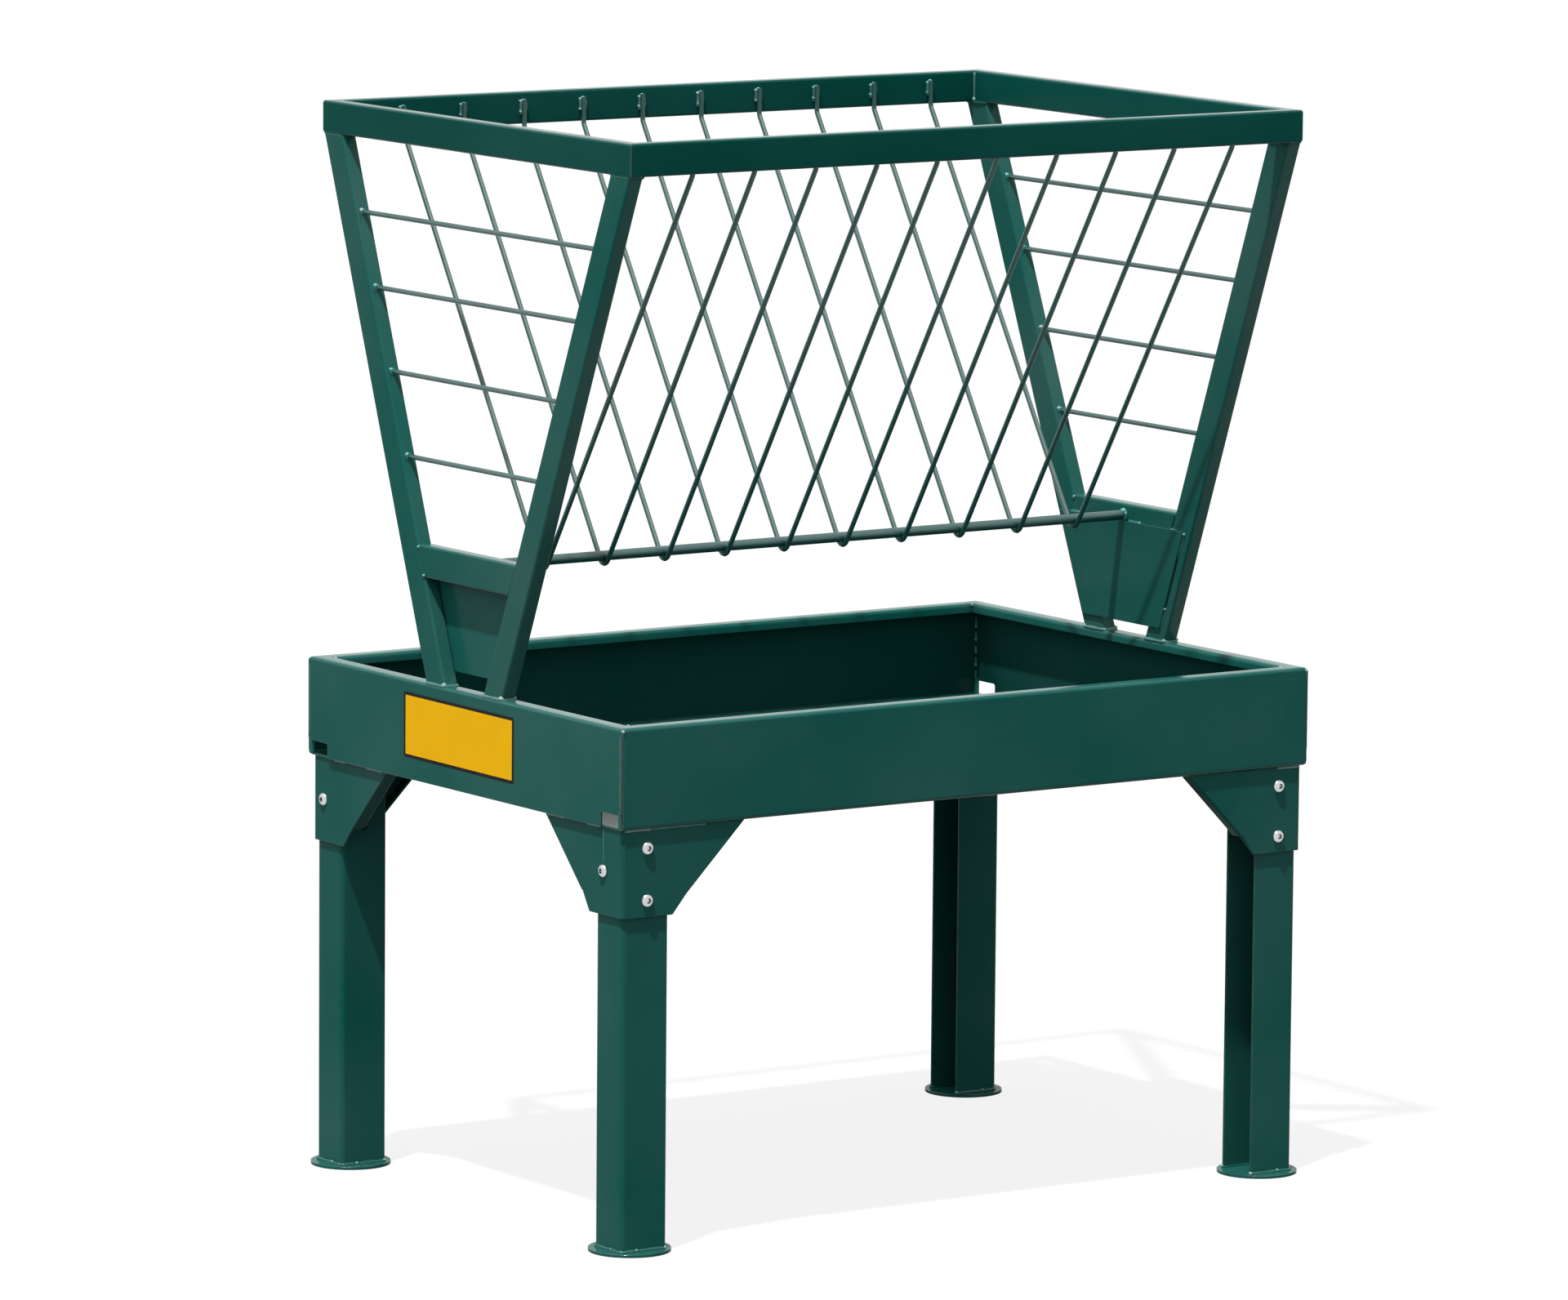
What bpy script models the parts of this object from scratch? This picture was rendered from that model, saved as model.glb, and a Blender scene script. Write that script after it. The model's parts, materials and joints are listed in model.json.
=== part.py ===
"""Square bale feeder: a folded steel tray on four channel legs, with a V shaped rack of bent rods over it.

Metres, +Z up, +X along the tray, -Y the front. The origin is on the ground under the middle of the tray.
Every piece is its own object. Pieces that are welded or bolted together keep FIT_GAP between their faces.
"""

import math

import bmesh
import bpy
from mathutils import Matrix, Vector

# Clearances
FIT_GAP = 0.0003
HOLE_CLEARANCE = 0.0005

# Tray: a folded pan and two end panels that lap over its ends
TRAY_LENGTH = 1.2865
TRAY_WIDTH = 0.908
TRAY_DEPTH = 0.156
RIM_HEIGHT = 0.8097
TRAY_SHEET = 0.003
TRAY_BEND_RADIUS = 0.006
RIM_WIDTH = 0.0315
RIM_LIP = 0.015
NOTCH_WIDTH = 0.058
NOTCH_HEIGHT = 0.0233
NOTCH_RADIUS = 0.004
PANEL_CORNER_RADIUS = 0.005

# Leg brackets: one folded sheet each, with a return lip along both slanted edges
BRACKET_INSET = 0.006
BRACKET_SHEET = 0.0042
BRACKET_BEND_RADIUS = 0.007
BRACKET_TOP_REACH = 0.226
BRACKET_KINK_REACH = 0.122
BRACKET_FOOT_REACH = 0.097
BRACKET_KINK_HEIGHT = 0.0302
BRACKET_HEIGHT = 0.1352
BRACKET_LIP = 0.0225
BRACKET_LIP_RADIUS = 0.004

# Legs: folded channels, open towards the middle of the tray, on round foot plates
LEG_WEB = 0.0752
LEG_FLANGE = 0.0798
LEG_SHEET = 0.0035
LEG_BEND_RADIUS = 0.008
FOOT_DIAMETER = 0.127
FOOT_THICKNESS = 0.0048

# Bolts: button head with a hexagon socket, and a nut inside the channel
BOLT_DIAMETER = 0.012
BOLT_HEAD_DIAMETER = 0.0205
BOLT_HEAD_HEIGHT = 0.006
BOLT_HEAD_EDGE = 0.0012
SOCKET_WIDTH = 0.008
SOCKET_DEPTH = 0.0035
SOCKET_LAND = 0.0008
NUT_WIDTH = 0.019
NUT_HEIGHT = 0.0105
BOLT_TIP = 0.003
UPPER_BOLT_DROP = 0.0297
LOWER_BOLT_DROP = 0.1097
SIDE_BOLT_DROP = 0.0677
SIDE_BOLT_OFFSET = 0.010

# Rack: a mitred top frame carried by two end frames, which flare outward towards the tray. Its rises are
# measured from the tray's rim
RACK_RISE = 0.8788
RACK_WIDTH = 0.8835
POST_RIM_INSET = 0.0039
TUBE_FACE = 0.0508
TUBE_EDGE = 0.0254
TUBE_WALL = 0.0021
TUBE_RADIUS = 0.004
END_FLARE = 0.0136
POST_FOOT_SPREAD = 0.220
POST_HEAD_INSET = 0.003
CROSS_TUBE_RISE = 0.2127
END_ROD_DIAMETER = 0.008
END_ROD_RISES = (0.3435, 0.471, 0.5975, 0.7115)
BAFFLE_SHEET = 0.003
BAFFLE_RIM_GAP = 0.0215
BAFFLE_ROD_GAP = 0.001
BAFFLE_FRONT_INSET = 0.019
BAFFLE_BACK_INSET = 0.009

# Bent rods that hang from the top frame and pass under the bottom rod
BOTTOM_ROD_DIAMETER = 0.016
BOTTOM_ROD_RISE = 0.194
V_ROD_DIAMETER = 0.008
V_ROD_COUNT = 10
V_ROD_LEFT_GAP = 0.1052
V_ROD_RIGHT_GAP = 0.0893
V_ROD_TOP_DROP = 0.012
V_ROD_BEND_RADIUS = 0.012

# Facets
BEND_STEPS = 3
CORNER_STEPS = 3
ROD_SIDES = 8
BOTTOM_ROD_SIDES = 16
BOLT_SIDES = 12
FOOT_SIDES = 48
DOME_STEPS = 3
HOLE_SIDES = 16
V_BEND_STEPS = 3
WRAP_STEPS = 8

# Levels and places that follow from the sizes above
TRAY_BOTTOM = RIM_HEIGHT - TRAY_DEPTH
RACK_HEIGHT = RIM_HEIGHT + RACK_RISE
RACK_LENGTH = TRAY_LENGTH - 2 * (POST_RIM_INSET + END_FLARE)
BOTTOM_ROD_HEIGHT = RIM_HEIGHT + BOTTOM_ROD_RISE
RAIL_UNDERSIDE = RACK_HEIGHT - TUBE_FACE
POST_HEIGHT = RAIL_UNDERSIDE - RIM_HEIGHT
POST_LEAN = (RACK_WIDTH / 2 - POST_HEAD_INSET - POST_FOOT_SPREAD / 2) / POST_HEIGHT
POST_LEVEL_WIDTH = TUBE_FACE * math.hypot(1, POST_LEAN)
FLARE_SLOPE = END_FLARE / POST_HEIGHT
LEG_INSET = BRACKET_INSET + BRACKET_SHEET + FIT_GAP
LEG_CENTRE_X = LEG_INSET + LEG_FLANGE / 2
LEG_CENTRE_Y = LEG_INSET + LEG_WEB / 2
HOLE_RADIUS = BOLT_DIAMETER / 2 + HOLE_CLEARANCE
X_AXIS = Vector((1, 0, 0))
Y_AXIS = Vector((0, 1, 0))
Z_AXIS = Vector((0, 0, 1))

# Corner name, quarter turns from the front left corner, and the side of the leg's middle with the web's bolt
CORNERS = (
    ("front_left", 0, 1),
    ("front_right", 1, -1),
    ("back_right", 2, 1),
    ("back_left", 3, -1),
)
ENDS = (("left", -1), ("right", 1))
SIDES = (("front", -1), ("back", 1))


def clear_scene():
    for item in list(bpy.data.objects):
        bpy.data.objects.remove(item, do_unlink=True)


def paint(name, colour, roughness, metallic=0.0):
    """A material with one Principled shader."""
    material = bpy.data.materials.new(name)
    material.use_nodes = True
    shader = material.node_tree.nodes["Principled BSDF"]
    shader.inputs["Base Color"].default_value = (*colour, 1.0)
    shader.inputs["Roughness"].default_value = roughness
    shader.inputs["Metallic"].default_value = metallic
    return material


def mesh_of(name, builder):
    """Turns a bmesh into a smooth shaded mesh whose faces point out."""
    bmesh.ops.recalc_face_normals(builder, faces=builder.faces)
    mesh = bpy.data.meshes.new(name)
    builder.to_mesh(mesh)
    builder.free()
    mesh.shade_smooth()
    mesh.set_sharp_from_angle(angle=math.radians(35))
    return mesh


def loft(rings, cycle=False):
    """A closed skin through rings of equal length. A cycle joins the last ring to the first."""
    builder = bmesh.new()
    rows = [[builder.verts.new(point) for point in ring] for ring in rings]
    pairs = list(zip(rows, rows[1:]))
    if cycle:
        pairs.append((rows[-1], rows[0]))
    for first, second in pairs:
        for index, corner in enumerate(first):
            after = (index + 1) % len(first)
            builder.faces.new((corner, first[after], second[after], second[index]))
    if not cycle:
        builder.faces.new(rows[0])
        builder.faces.new(rows[-1])
    return builder


def add_object(name, mesh, material, matrix=None):
    item = bpy.data.objects.new(name, mesh)
    bpy.context.scene.collection.objects.link(item)
    if not mesh.materials:
        mesh.materials.append(material)
    if matrix is not None:
        item.matrix_local = matrix
    return item


def left_of(direction):
    return Vector((-direction.y, direction.x))


def folded_profile(corners, thickness, radius):
    """Outer and inner points of a sheet that folds to its left at each corner between its two ends."""
    corners = [Vector(corner) for corner in corners]
    runs = [(b - a).normalized() for a, b in zip(corners, corners[1:])]
    pairs = [(corners[0], corners[0] + left_of(runs[0]) * thickness)]
    for corner, before, after in zip(corners[1:], runs, runs[1:]):
        turn = before.angle(after)
        centre = corner - before * radius * math.tan(turn / 2) + left_of(before) * radius
        for step in range(BEND_STEPS + 1):
            spoke = -left_of(before)
            spoke.rotate(Matrix.Rotation(turn * step / BEND_STEPS, 2))
            pairs.append((centre + spoke * radius, centre + spoke * (radius - thickness)))
    pairs.append((corners[-1], corners[-1] + left_of(runs[-1]) * thickness))
    return pairs


def folded_sheet(pairs, place, reach):
    """Stretches a folded profile between -reach and +reach of each of its points."""
    rings = []
    for outer, inner in pairs:
        ring = [place(outer, -reach(outer)), place(inner, -reach(inner))]
        ring += [place(inner, reach(inner)), place(outer, reach(outer))]
        rings.append(ring)
    return loft(rings)


def circle(radius, sides):
    angles = [2 * math.pi * side / sides for side in range(sides)]
    return [(radius * math.cos(angle), radius * math.sin(angle)) for angle in angles]


def hexagon(width, sides):
    """A hexagon of this width across its flats, with as many points as the circle that it meets."""
    points = []
    for side in range(sides):
        angle = 2 * math.pi * side / sides
        from_flat = (angle % (math.pi / 3)) - math.pi / 6
        radius = width / 2 / math.cos(from_flat)
        points.append((radius * math.cos(angle), radius * math.sin(angle)))
    return points


def rounded_rectangle(width, height, radius):
    points = []
    for quarter, (side_x, side_y) in enumerate(((1, 1), (-1, 1), (-1, -1), (1, -1))):
        centre = Vector((side_x * (width / 2 - radius), side_y * (height / 2 - radius)))
        for step in range(CORNER_STEPS + 1):
            angle = math.pi / 2 * (quarter + step / CORNER_STEPS)
            points.append(centre + radius * Vector((math.cos(angle), math.sin(angle))))
    return points


def cut_ring(section, point, run, across, along, normal):
    """A section's points, slid along the run on to the plane that cuts it at this point."""
    ring = []
    for u, v in section:
        offset = across * u + along * v
        ring.append(point + offset - run * (offset.dot(normal) / run.dot(normal)))
    return ring


def straight_rings(section, ends, across, normals):
    run = (ends[1] - ends[0]).normalized()
    along = run.cross(across).normalized()
    return [cut_ring(section, end, run, across, along, normal) for end, normal in zip(ends, normals)]


def tube_mesh(name, ends, across, normals):
    """A hollow rectangular tube. Its wide face spans the direction across, and a plane cuts each end."""
    outer = rounded_rectangle(TUBE_FACE, TUBE_EDGE, TUBE_RADIUS)
    bore = rounded_rectangle(
        TUBE_FACE - 2 * TUBE_WALL, TUBE_EDGE - 2 * TUBE_WALL, max(TUBE_RADIUS - TUBE_WALL, TUBE_WALL / 2)
    )
    outside = straight_rings(outer, ends, across, normals)
    inside = straight_rings(bore, ends, across, normals)
    return mesh_of(name, loft([*outside, *reversed(inside)], cycle=True))


def bar_mesh(name, diameter, sides, ends, across, normals):
    section = circle(diameter / 2, sides)
    return mesh_of(name, loft(straight_rings(section, ends, across, normals)))


def level_flare(height):
    """How far the end frames stand outside the top frame at this height."""
    return FLARE_SLOPE * (RAIL_UNDERSIDE - height)


def post_middle_x(height):
    return RACK_LENGTH / 2 - TUBE_EDGE / 2 + level_flare(height)


def post_middle_y(height):
    foot = POST_FOOT_SPREAD / 2 - POST_LEVEL_WIDTH / 2
    return foot + POST_LEAN * (height - RIM_HEIGHT)


def post_inner_y(height):
    return post_middle_y(height) - POST_LEVEL_WIDTH / 2


def post_outer_y(height):
    return post_middle_y(height) + POST_LEVEL_WIDTH / 2


def drilled(mesh, material, holes):
    """The mesh with round holes. Each hole is a middle, an axis and a length."""
    blank = add_object(mesh.name + "_blank", mesh, material)
    drill = bmesh.new()
    for middle, axis, length in holes:
        matrix = Matrix.Translation(middle) @ Z_AXIS.rotation_difference(axis).to_matrix().to_4x4()
        bmesh.ops.create_cone(
            drill, cap_ends=True, segments=HOLE_SIDES, radius1=HOLE_RADIUS, radius2=HOLE_RADIUS,
            depth=length, matrix=matrix,
        )
    cutter = add_object(mesh.name + "_drill", mesh_of(mesh.name + "_drill", drill), material)
    return cut_away(blank, cutter)


def cut_away(blank, cutter):
    """Applies a Boolean difference and removes both helper objects."""
    cut = blank.modifiers.new("cut", "BOOLEAN")
    cut.object = cutter
    graph = bpy.context.evaluated_depsgraph_get()
    mesh = bpy.data.meshes.new_from_object(blank.evaluated_get(graph))
    mesh.name = blank.data.name
    bpy.data.objects.remove(blank)
    bpy.data.objects.remove(cutter)
    return mesh


def make_tray_pan(material):
    """Floor, front and back walls and their rims, folded from one sheet."""
    half = TRAY_WIDTH / 2
    edge = half - RIM_WIDTH
    lip = RIM_HEIGHT - RIM_LIP
    corners = [(-edge, lip), (-edge, RIM_HEIGHT), (-half, RIM_HEIGHT), (-half, TRAY_BOTTOM)]
    corners += [(-y, z) for y, z in reversed(corners)]

    def reach(point):
        mitre = half - abs(point.x) if point.y > lip - FIT_GAP else 0
        return TRAY_LENGTH / 2 - max(mitre, TRAY_SHEET) - FIT_GAP

    pairs = folded_profile(corners, TRAY_SHEET, TRAY_BEND_RADIUS)
    builder = folded_sheet(pairs, lambda point, x: Vector((x, point.x, point.y)), reach)
    add_object("tray_pan", mesh_of("tray_pan", builder), material)


def notch_outline():
    """The drain notch at the front end of a panel, which also rounds the corner over it."""
    outer = -TRAY_WIDTH / 2
    inner = outer + NOTCH_WIDTH
    top = TRAY_BOTTOM + NOTCH_HEIGHT
    outside = outer - TRAY_SHEET
    below = TRAY_BOTTOM - TRAY_SHEET
    points = [(outside, below), (inner, below)]
    for step in range(BEND_STEPS + 1):
        angle = math.pi / 2 * step / BEND_STEPS
        centre = (inner - NOTCH_RADIUS, top - NOTCH_RADIUS)
        across = NOTCH_RADIUS * math.cos(angle)
        points.append((centre[0] + across, centre[1] + NOTCH_RADIUS * math.sin(angle)))
    for step in range(BEND_STEPS + 1):
        angle = -math.pi / 2 * (1 + step / BEND_STEPS)
        centre = (outer + PANEL_CORNER_RADIUS, top + PANEL_CORNER_RADIUS)
        across = PANEL_CORNER_RADIUS * math.cos(angle)
        points.append((centre[0] + across, centre[1] + PANEL_CORNER_RADIUS * math.sin(angle)))
    points.append((outside, top + PANEL_CORNER_RADIUS))
    return points


def make_tray_ends(material):
    """End panels: a plate over the pan's end, with its rim folded in and a drain notch at each side."""
    lip = RIM_HEIGHT - RIM_LIP
    corners = [(RIM_WIDTH, lip), (RIM_WIDTH, RIM_HEIGHT), (0, RIM_HEIGHT), (0, TRAY_BOTTOM)]

    def reach(point):
        in_plate = point.y < RIM_HEIGHT - TRAY_BEND_RADIUS + FIT_GAP and point.x < TRAY_SHEET + FIT_GAP
        return TRAY_WIDTH / 2 - (0 if in_plate else point.x)

    pairs = folded_profile(corners, TRAY_SHEET, TRAY_BEND_RADIUS)
    builder = folded_sheet(pairs, lambda point, y: Vector((point.x, y, point.y)), reach)
    blank = add_object("tray_end_blank", mesh_of("tray_end", builder), material)
    notches = bmesh.new()
    for side in (1, -1):
        rows = [
            [notches.verts.new((x, y * side, z)) for y, z in notch_outline()]
            for x in (-TRAY_SHEET, 2 * TRAY_SHEET)
        ]
        for index, corner in enumerate(rows[0]):
            after = (index + 1) % len(rows[0])
            notches.faces.new((corner, rows[0][after], rows[1][after], rows[1][index]))
        for row in rows:
            notches.faces.new(row)
    cutter = add_object("tray_end_notches", mesh_of("tray_end_notches", notches), material)
    mesh = cut_away(blank, cutter)
    for end, side in ENDS:
        turned = Matrix.Rotation(0 if side < 0 else math.pi, 4, "Z")
        place = Matrix.Translation((side * TRAY_LENGTH / 2, 0, 0)) @ turned
        add_object("tray_end_" + end, mesh, material, matrix=place)


def corner_matrix(turns):
    """From a corner's own frame, whose X and Y both point into the tray, to the tray's."""
    across = (-TRAY_LENGTH / 2, TRAY_LENGTH / 2)[turns in (1, 2)]
    along = (-TRAY_WIDTH / 2, TRAY_WIDTH / 2)[turns in (2, 3)]
    return Matrix.Translation((across, along, 0)) @ Matrix.Rotation(turns * math.pi / 2, 4, "Z")


def bracket_columns():
    """Rings from the end of one wing, round the corner, to the end of the other, each with three levels."""
    foot = TRAY_BOTTOM - BRACKET_HEIGHT
    levels = (foot, foot + BRACKET_KINK_HEIGHT, TRAY_BOTTOM - FIT_GAP)
    reaches = (BRACKET_FOOT_REACH, BRACKET_KINK_REACH, BRACKET_TOP_REACH)
    slant = math.hypot(reaches[2] - reaches[1], levels[2] - levels[1]) / (levels[2] - levels[1])
    lip_width = BRACKET_SHEET * slant
    bend = BRACKET_INSET + BRACKET_BEND_RADIUS

    def ring(outer, inner):
        return [Vector((*outer(level), levels[level])) for level in range(3)] + [
            Vector((*inner(level), levels[level])) for level in reversed(range(3))
        ]

    def wing_ring(drawn_in, swap):
        def at(depth):
            return lambda level: (
                (depth, reaches[level] - drawn_in) if swap else (reaches[level] - drawn_in, depth)
            )

        return ring(at(BRACKET_INSET), at(BRACKET_INSET + BRACKET_SHEET))

    def bend_ring(angle):
        def at(radius):
            return lambda level: (bend - radius * math.sin(angle), bend - radius * math.cos(angle))

        return ring(at(BRACKET_BEND_RADIUS), at(BRACKET_BEND_RADIUS - BRACKET_SHEET))

    rings = [wing_ring(0, False), wing_ring(lip_width, False)]
    rings += [bend_ring(math.pi / 2 * step / BEND_STEPS) for step in range(BEND_STEPS + 1)]
    rings += [wing_ring(lip_width, True), wing_ring(0, True)]
    return rings


def bracket_mesh(name):
    """The folded corner sheet, with a lip drawn in from the slanted edge of each wing."""
    rings = bracket_columns()
    builder = loft(rings)
    builder.verts.ensure_lookup_table()
    size = len(rings[0])
    outer_kink, outer_top, inner_top, inner_kink = 1, 2, 3, 4
    folds = []
    for end, beside, inward in ((0, 1, Y_AXIS), (len(rings) - 1, len(rings) - 2, X_AXIS)):
        rows = (inner_top, inner_kink)
        strip = {builder.verts[column * size + row] for column in (end, beside) for row in rows}
        face = next(face for face in builder.faces if set(face.verts) == strip)
        folds.append((builder.verts[end * size + outer_kink], builder.verts[end * size + outer_top]))
        lip = bmesh.ops.extrude_face_region(builder, geom=[face])["geom"]
        moved = [item for item in lip if isinstance(item, bmesh.types.BMVert)]
        bmesh.ops.translate(builder, verts=moved, vec=inward * (BRACKET_LIP - BRACKET_SHEET))
        bmesh.ops.delete(builder, geom=[face], context="FACES_ONLY")
        builder.verts.ensure_lookup_table()
    edges = [builder.edges.get(fold) for fold in folds]
    bmesh.ops.bevel(
        builder, geom=edges, offset=BRACKET_LIP_RADIUS, segments=BEND_STEPS, affect="EDGES", profile=0.5
    )
    bmesh.ops.triangulate(builder, faces=builder.faces)
    return mesh_of(name, builder)


def bolt_places(side):
    """Name, place on the bracket's outer face and inward direction of the bolts, in the corner's frame."""
    face = BRACKET_INSET
    web_bolt_y = LEG_CENTRE_Y + side * SIDE_BOLT_OFFSET
    return (
        ("upper", Vector((LEG_CENTRE_X, face, TRAY_BOTTOM - UPPER_BOLT_DROP)), Y_AXIS),
        ("lower", Vector((LEG_CENTRE_X, face, TRAY_BOTTOM - LOWER_BOLT_DROP)), Y_AXIS),
        ("side", Vector((face, web_bolt_y, TRAY_BOTTOM - SIDE_BOLT_DROP)), X_AXIS),
    )


def swapped(vector):
    return Vector((vector.y, vector.x, vector.z))


def make_brackets(material):
    """Brackets of two hands: at every second corner the frame is turned, so the wings change places."""
    meshes = {}
    for side in (1, -1):
        holes = []
        for _, place, inward in bolt_places(side):
            if side < 0:
                place, inward = swapped(place), swapped(inward)
            holes.append((place, inward, 4 * BRACKET_SHEET))
        blank = bracket_mesh("leg_bracket_left_hand" if side > 0 else "leg_bracket_right_hand")
        meshes[side] = drilled(blank, material, holes)
    for corner, turns, side in CORNERS:
        add_object("leg_bracket_" + corner, meshes[side], material, matrix=corner_matrix(turns))


def leg_frame(turns):
    """The frame of a leg. Legs aren't handed: those of one end are turned half round from the other's."""
    left = turns in (0, 3)
    front = turns in (0, 1)
    across = (TRAY_LENGTH / 2 - LEG_INSET) * (-1 if left else 1)
    along = (TRAY_WIDTH / 2 - LEG_CENTRE_Y) * (-1 if front else 1)
    turned = Matrix.Rotation(0 if left else math.pi, 4, "Z")
    return Matrix.Translation((across, along, 0)) @ turned


def make_legs(material):
    """Channels with their web outward. Each flange has two bolt holes, and the web one off its middle."""
    half = LEG_WEB / 2
    corners = [(LEG_FLANGE, half), (0, half), (0, -half), (LEG_FLANGE, -half)]
    pairs = folded_profile(corners, LEG_SHEET, LEG_BEND_RADIUS)
    foot = FOOT_THICKNESS + FIT_GAP
    top = TRAY_BOTTOM - FIT_GAP
    rings = [
        [
            Vector((*outer, foot)), Vector((*inner, foot)),
            Vector((*inner, top)), Vector((*outer, top)),
        ]
        for outer, inner in pairs
    ]
    blank = mesh_of("leg", loft(rings))
    holes = [
        (Vector((LEG_FLANGE / 2, 0, TRAY_BOTTOM - drop)), Y_AXIS, 2 * LEG_WEB)
        for drop in (UPPER_BOLT_DROP, LOWER_BOLT_DROP)
    ]
    holes.append((Vector((0, SIDE_BOLT_OFFSET, TRAY_BOTTOM - SIDE_BOLT_DROP)), X_AXIS, 4 * LEG_SHEET))
    mesh = drilled(blank, material, holes)
    for corner, turns, _ in CORNERS:
        add_object("leg_" + corner, mesh, material, matrix=leg_frame(turns))


def make_feet(material):
    rings = [
        [Vector((x, y, level)) for x, y in circle(FOOT_DIAMETER / 2, FOOT_SIDES)]
        for level in (0, FOOT_THICKNESS)
    ]
    mesh = mesh_of("foot_plate", loft(rings))
    for corner, turns, _ in CORNERS:
        place = leg_frame(turns) @ Matrix.Translation((LEG_FLANGE / 2, 0, 0))
        add_object("foot_plate_" + corner, mesh, material, matrix=place)


def bolt_mesh():
    """A bolt along Z: its head stands on z = 0 and points up, and its nut is at the far end of the grip."""
    radius = BOLT_HEAD_DIAMETER / 2
    shank = circle(BOLT_DIAMETER / 2, BOLT_SIDES)
    socket = hexagon(SOCKET_WIDTH, BOLT_SIDES)
    land = SOCKET_WIDTH / 2 / math.cos(math.pi / 6) + SOCKET_LAND
    full_turn = math.acos(land / radius)
    nut_top = -(BRACKET_SHEET + LEG_SHEET + 2 * FIT_GAP)
    sections = [(socket, BOLT_HEAD_HEIGHT - SOCKET_DEPTH), (socket, BOLT_HEAD_HEIGHT)]
    for step in range(DOME_STEPS + 1):
        turn = full_turn * (1 - step / DOME_STEPS)
        rise = (BOLT_HEAD_HEIGHT - BOLT_HEAD_EDGE) * math.sin(turn) / math.sin(full_turn)
        sections.append((circle(radius * math.cos(turn), BOLT_SIDES), BOLT_HEAD_EDGE + rise))
    nut = hexagon(NUT_WIDTH, BOLT_SIDES)
    sections += [(circle(radius, BOLT_SIDES), FIT_GAP), (shank, FIT_GAP), (shank, nut_top), (nut, nut_top)]
    sections += [(nut, nut_top - NUT_HEIGHT), (shank, nut_top - NUT_HEIGHT)]
    sections += [(shank, nut_top - NUT_HEIGHT - BOLT_TIP)]
    return mesh_of("bolt", loft([[Vector((x, y, z)) for x, y in points] for points, z in sections]))


def make_bolts(material):
    mesh = bolt_mesh()
    for corner, turns, side in CORNERS:
        for name, place, inward in bolt_places(side):
            if side < 0:
                place, inward = swapped(place), swapped(inward)
            turned = Z_AXIS.rotation_difference(-inward).to_matrix().to_4x4()
            matrix = corner_matrix(turns) @ Matrix.Translation(place) @ turned
            add_object(f"bolt_{corner}_{name}", mesh, material, matrix=matrix)


def make_top_frame(material):
    """Four rails of rectangular tube on edge, mitred at the corners."""
    height = RACK_HEIGHT - TUBE_FACE / 2
    half_x = RACK_LENGTH / 2 - TUBE_EDGE / 2
    half_y = RACK_WIDTH / 2 - TUBE_EDGE / 2
    setback = FIT_GAP / 2 / math.sin(math.pi / 4)
    for name, side in SIDES:
        ends = [Vector((end * (half_x - setback), side * half_y, height)) for end in (-1, 1)]
        normals = [Vector((end, -side, 0)).normalized() for end in (-1, 1)]
        mesh = tube_mesh("top_rail_" + name, ends, Z_AXIS, normals)
        add_object("top_rail_" + name, mesh, material)
    for name, side in ENDS:
        ends = [Vector((side * half_x, end * (half_y - setback), height)) for end in (-1, 1)]
        normals = [Vector((-side, end, 0)).normalized() for end in (-1, 1)]
        mesh = tube_mesh("top_rail_" + name, ends, Z_AXIS, normals)
        add_object("top_rail_" + name, mesh, material)


def end_frame_point(side, y, height):
    """A point in the middle plane of an end frame."""
    return Vector((side * post_middle_x(height), y, height))


def end_frame_normal(side):
    return Vector((side, 0, FLARE_SLOPE)).normalized()


def post_across(side, front):
    """The direction across the wide face of a post, which is square to its inner and outer faces."""
    run = end_frame_point(side, front * post_middle_y(RAIL_UNDERSIDE), RAIL_UNDERSIDE)
    run -= end_frame_point(side, front * post_middle_y(RIM_HEIGHT), RIM_HEIGHT)
    return run.cross(end_frame_normal(side)).normalized()


def between_posts(side, height):
    """The ends of a bar that spans the posts at this height, and the planes that cut it beside them."""
    gap = FIT_GAP * math.hypot(1, POST_LEAN)
    ends = [end_frame_point(side, front * (post_inner_y(height) - gap), height) for front in (-1, 1)]
    return ends, [post_across(side, front) for front in (-1, 1)]


def make_end_frame(end, side, frame_paint, rod_paint, plate_paint):
    """Two leaning posts with a cross tube, a baffle plate and four rods between them."""
    levels = (RIM_HEIGHT + FIT_GAP, RAIL_UNDERSIDE - FIT_GAP)
    for name, front in SIDES:
        ends = [end_frame_point(side, front * post_middle_y(level), level) for level in levels]
        mesh = tube_mesh(f"post_{end}_{name}", ends, post_across(side, front), [Z_AXIS, Z_AXIS])
        add_object(f"post_{end}_{name}", mesh, frame_paint)
    ends, normals = between_posts(side, RIM_HEIGHT + CROSS_TUBE_RISE - TUBE_FACE / 2)
    tilted = end_frame_normal(side).cross(Y_AXIS)
    add_object(f"cross_tube_{end}", tube_mesh(f"cross_tube_{end}", ends, tilted, normals), frame_paint)
    for number, rise in enumerate(END_ROD_RISES, 1):
        ends, normals = between_posts(side, RIM_HEIGHT + rise)
        name = f"end_rod_{end}_{number}"
        add_object(name, bar_mesh(name, END_ROD_DIAMETER, ROD_SIDES, ends, tilted, normals), rod_paint)
    make_baffle(end, side, plate_paint)


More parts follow.
